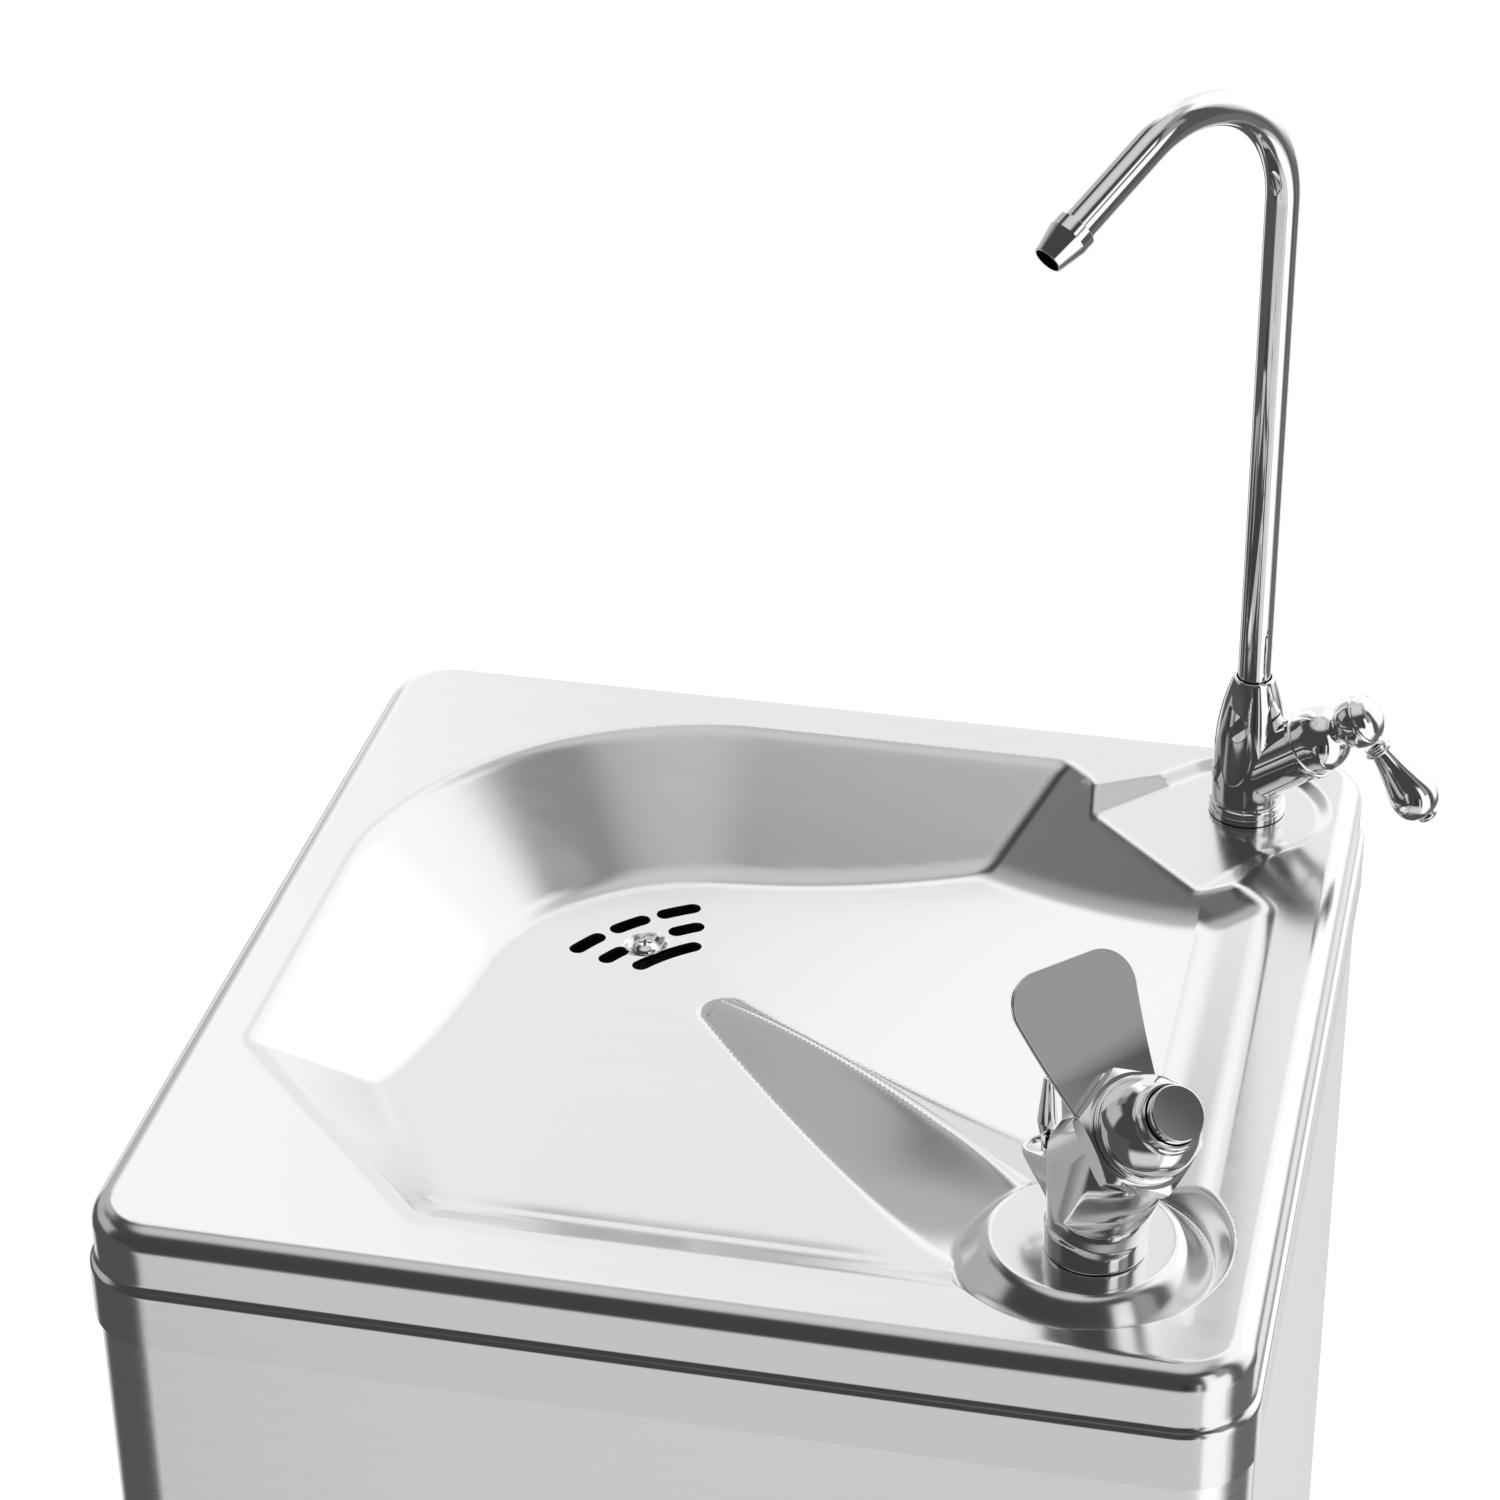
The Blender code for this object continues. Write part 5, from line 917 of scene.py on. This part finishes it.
SLOT_MATERIALS = {"satin_steel": SATIN, "brushed_steel": BRUSHED, "chrome": CHROME, "copper": COPPER, "brass": BRASS,
                  "rubber": RUBBER, "black_paint": BLACK_PAINT, "foam": FOAM, "grey_plastic": GREY_PLASTIC,
                  "white_plastic": WHITE_PLASTIC, "zinc": ZINC}


def dress_nodes():
    """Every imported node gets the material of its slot."""
    for part in frame["record"]["subparts"]:
        mesh = NODES[part["node"]].data
        mesh.materials.clear()
        mesh.materials.append(SLOT_MATERIALS[part["material_slot"]])


# ---------------------------------------------------------------- studio


def make_camera():
    """The viewpoint. right, up and back are the camera's own axes, and it stands off from the middle of the deck."""
    yaw, pitch, roll = math.radians(13.03), math.radians(30.918), math.radians(-0.731)
    back = Vector((math.sin(yaw) * math.cos(pitch), -math.cos(yaw) * math.cos(pitch), math.sin(pitch)))
    right = Vector((math.cos(yaw), math.sin(yaw), 0))
    up = back.cross(right)
    rolled_right = right * math.cos(roll) + up * math.sin(roll)
    rolled_up = up * math.cos(roll) - right * math.sin(roll)
    data = bpy.data.cameras.new("camera")
    data.sensor_width = 36
    data.lens = 99.54
    data.clip_end = 100
    camera = bpy.data.objects.new("camera", data)
    bpy.context.scene.collection.objects.link(camera)
    stand_off = Vector((227.707, -1010.193, 698.129)) * MM
    place = MIDDLE + stand_off + Vector((0, 0, DECK_Z))
    turn = Matrix((rolled_right, rolled_up, back)).transposed().to_4x4()
    camera.matrix_world = Matrix.Translation(place) @ turn
    bpy.context.scene.camera = camera


class Sky:
    """Paints the light level round the studio in patches, by compass bearing and elevation in degrees.

    Bearing 0 lies behind the fountain, 90 to its right, -90 to its left.
    """

    def __init__(self, tree, level):
        self.tree = tree
        place = tree.nodes.new("ShaderNodeTexCoord")
        split = tree.nodes.new("ShaderNodeSeparateXYZ")
        tree.links.new(place.outputs["Generated"], split.inputs["Vector"])
        turn = self.math("ARCTAN2", split.outputs["X"], split.outputs["Y"])
        self.bearing = self.math("DEGREES", turn)
        self.elevation = self.math("DEGREES", self.math("ARCSINE", split.outputs["Z"]))
        start = tree.nodes.new("ShaderNodeValue")
        start.outputs[0].default_value = level
        self.level = start.outputs[0]

    def math(self, operation, *values):
        node = self.tree.nodes.new("ShaderNodeMath")
        node.operation = operation
        for socket, value in zip(node.inputs, values):
            if isinstance(value, (int, float)):
                socket.default_value = value
            else:
                self.tree.links.new(value, socket)
        return node.outputs[0]

    def edge(self, value, start, end, rising=True):
        """A smooth step from start to end."""
        node = self.tree.nodes.new("ShaderNodeMapRange")
        node.interpolation_type = "SMOOTHSTEP"
        node.inputs["From Min"].default_value = start
        node.inputs["From Max"].default_value = end
        node.inputs["To Min"].default_value = 0 if rising else 1
        node.inputs["To Max"].default_value = 1 if rising else 0
        self.tree.links.new(value, node.inputs["Value"])
        return node.outputs["Result"]

    def paint(self, level, mask):
        node = self.tree.nodes.new("ShaderNodeMix")
        self.tree.links.new(mask, node.inputs[0])
        self.tree.links.new(self.level, node.inputs[2])
        node.inputs[3].default_value = level
        self.level = node.outputs[0]

    def above(self, level, start, end):
        """Everything over an elevation takes a level."""
        self.paint(level, self.edge(self.elevation, start, end))

    def patch(self, level, bearings, elevations, side=4, rim=4):
        """A soft-edged panel. side and rim are the widths of its upright and level edges."""
        mask = self.edge(self.bearing, bearings[0] - side / 2, bearings[0] + side / 2)
        right = self.edge(self.bearing, bearings[1] - side / 2, bearings[1] + side / 2, False)
        low = self.edge(self.elevation, elevations[0] - rim / 2, elevations[0] + rim / 2)
        high = self.edge(self.elevation, elevations[1] - rim / 2, elevations[1] + rim / 2, False)
        for other in (right, low, high):
            mask = self.math("MULTIPLY", mask, other)
        self.paint(level, mask)


def make_world():
    """A dark studio with white panels behind and to the right, pale above and below. Later patches lie on top."""
    world = bpy.data.worlds.new("studio")
    world.use_nodes = True
    bpy.context.scene.world = world
    tree = world.node_tree
    sky = Sky(tree, 0.09)
    sky.above(0.68, -64, -44)
    sky.above(0.06, -27, -13)
    sky.above(0.63, 56, 70)
    sky.above(0.70, 68, 82)
    sky.patch(0.30, (62, 112), (36, 70), 16, 12)
    sky.patch(0.09, (-150, -54), (-74, 2), 10, 8)
    sky.patch(0.90, (-46, 32), (-58, -4), 14, 8)
    sky.patch(0.10, (-34, 3), (-64, -20), 8, 8)
    sky.patch(0.16, (33, 92), (-54, -13), 6, 6)
    sky.patch(1.15, (-38, 76), (-11, 60), 22, 16)
    sky.patch(1.35, (10, 52), (0, 30), 16, 12)
    sky.patch(0.98, (-18, 1), (-14, 66), 8, 16)
    sky.patch(0.50, (-106, -76), (4, 34), 10, 10)
    sky.patch(0.22, (-78, -48), (28, 45), 3, 8)
    sky.patch(0.48, (-82, -46), (2, 27), 8, 8)
    sky.patch(0.52, (-60, -36), (0, 44), 16, 8)
    sky.patch(0.10, (79, 98), (-26, 50), 4, 8)
    sky.patch(0.34, (95, 114), (22, 43), 4, 5)
    sky.patch(1.15, (101, 139), (-56, 22), 4, 8)
    sky.patch(1.10, (119, 139), (18, 42), 4, 8)
    sky.patch(0.90, (147, 151), (-36, 12), 3, 6)
    sky.patch(0.03, (161, 170), (-14, 12), 5, 8)
    background = tree.nodes["Background"]
    tree.links.new(sky.level, background.inputs["Color"])


def stage_only(obj, colour, roughness, specular, glow, lights_others):
    """Stages a glowing matt piece that reflections never show."""
    material, _, shader = node_material(obj.name + "_paint")
    settings = {"Base Color": (colour, colour, colour, 1), "Roughness": roughness, "Specular IOR Level": specular,
                "Emission Color": (1, 1, 1, 1), "Emission Strength": glow}
    for socket, value in settings.items():
        shader.inputs[socket].default_value = value
    obj.data.materials.append(material)
    obj.visible_glossy = False
    obj.visible_diffuse = lights_others
    obj.visible_shadow = lights_others


def make_backdrop():
    """A white dome that only the camera sees, and a pale floor that catches a soft shadow."""
    dome_radius, floor_radius = 20, 9
    outline = [(0, dome_radius)] + ball_outline(0, dome_radius, 80, -30, 24) + [(0, -dome_radius / 2)]
    dome = lathe("backdrop", outline, Matrix(), 96)
    stage_only(dome, 0, 1, 0, 1.05, lights_others=False)

    bm = bmesh.new()
    bmesh.ops.create_circle(bm, cap_ends=True, segments=96, radius=floor_radius)
    mesh = bpy.data.meshes.new("studio_floor")
    bm.to_mesh(mesh)
    bm.free()
    floor = new_object("studio_floor", mesh, Matrix())
    stage_only(floor, 0.9, 0.9, 0.1, 0.6, lights_others=True)


dress_nodes()
make_basin_top()
make_drain_screw()
make_bubbler_body()
make_jet_nozzle()
make_guard()
make_nut()
make_bonnet()
make_button()
make_faucet_body()
make_spout()
make_valve()
make_panels()
make_camera()
make_world()
make_backdrop()
bpy.context.scene.view_settings.view_transform = "Standard"
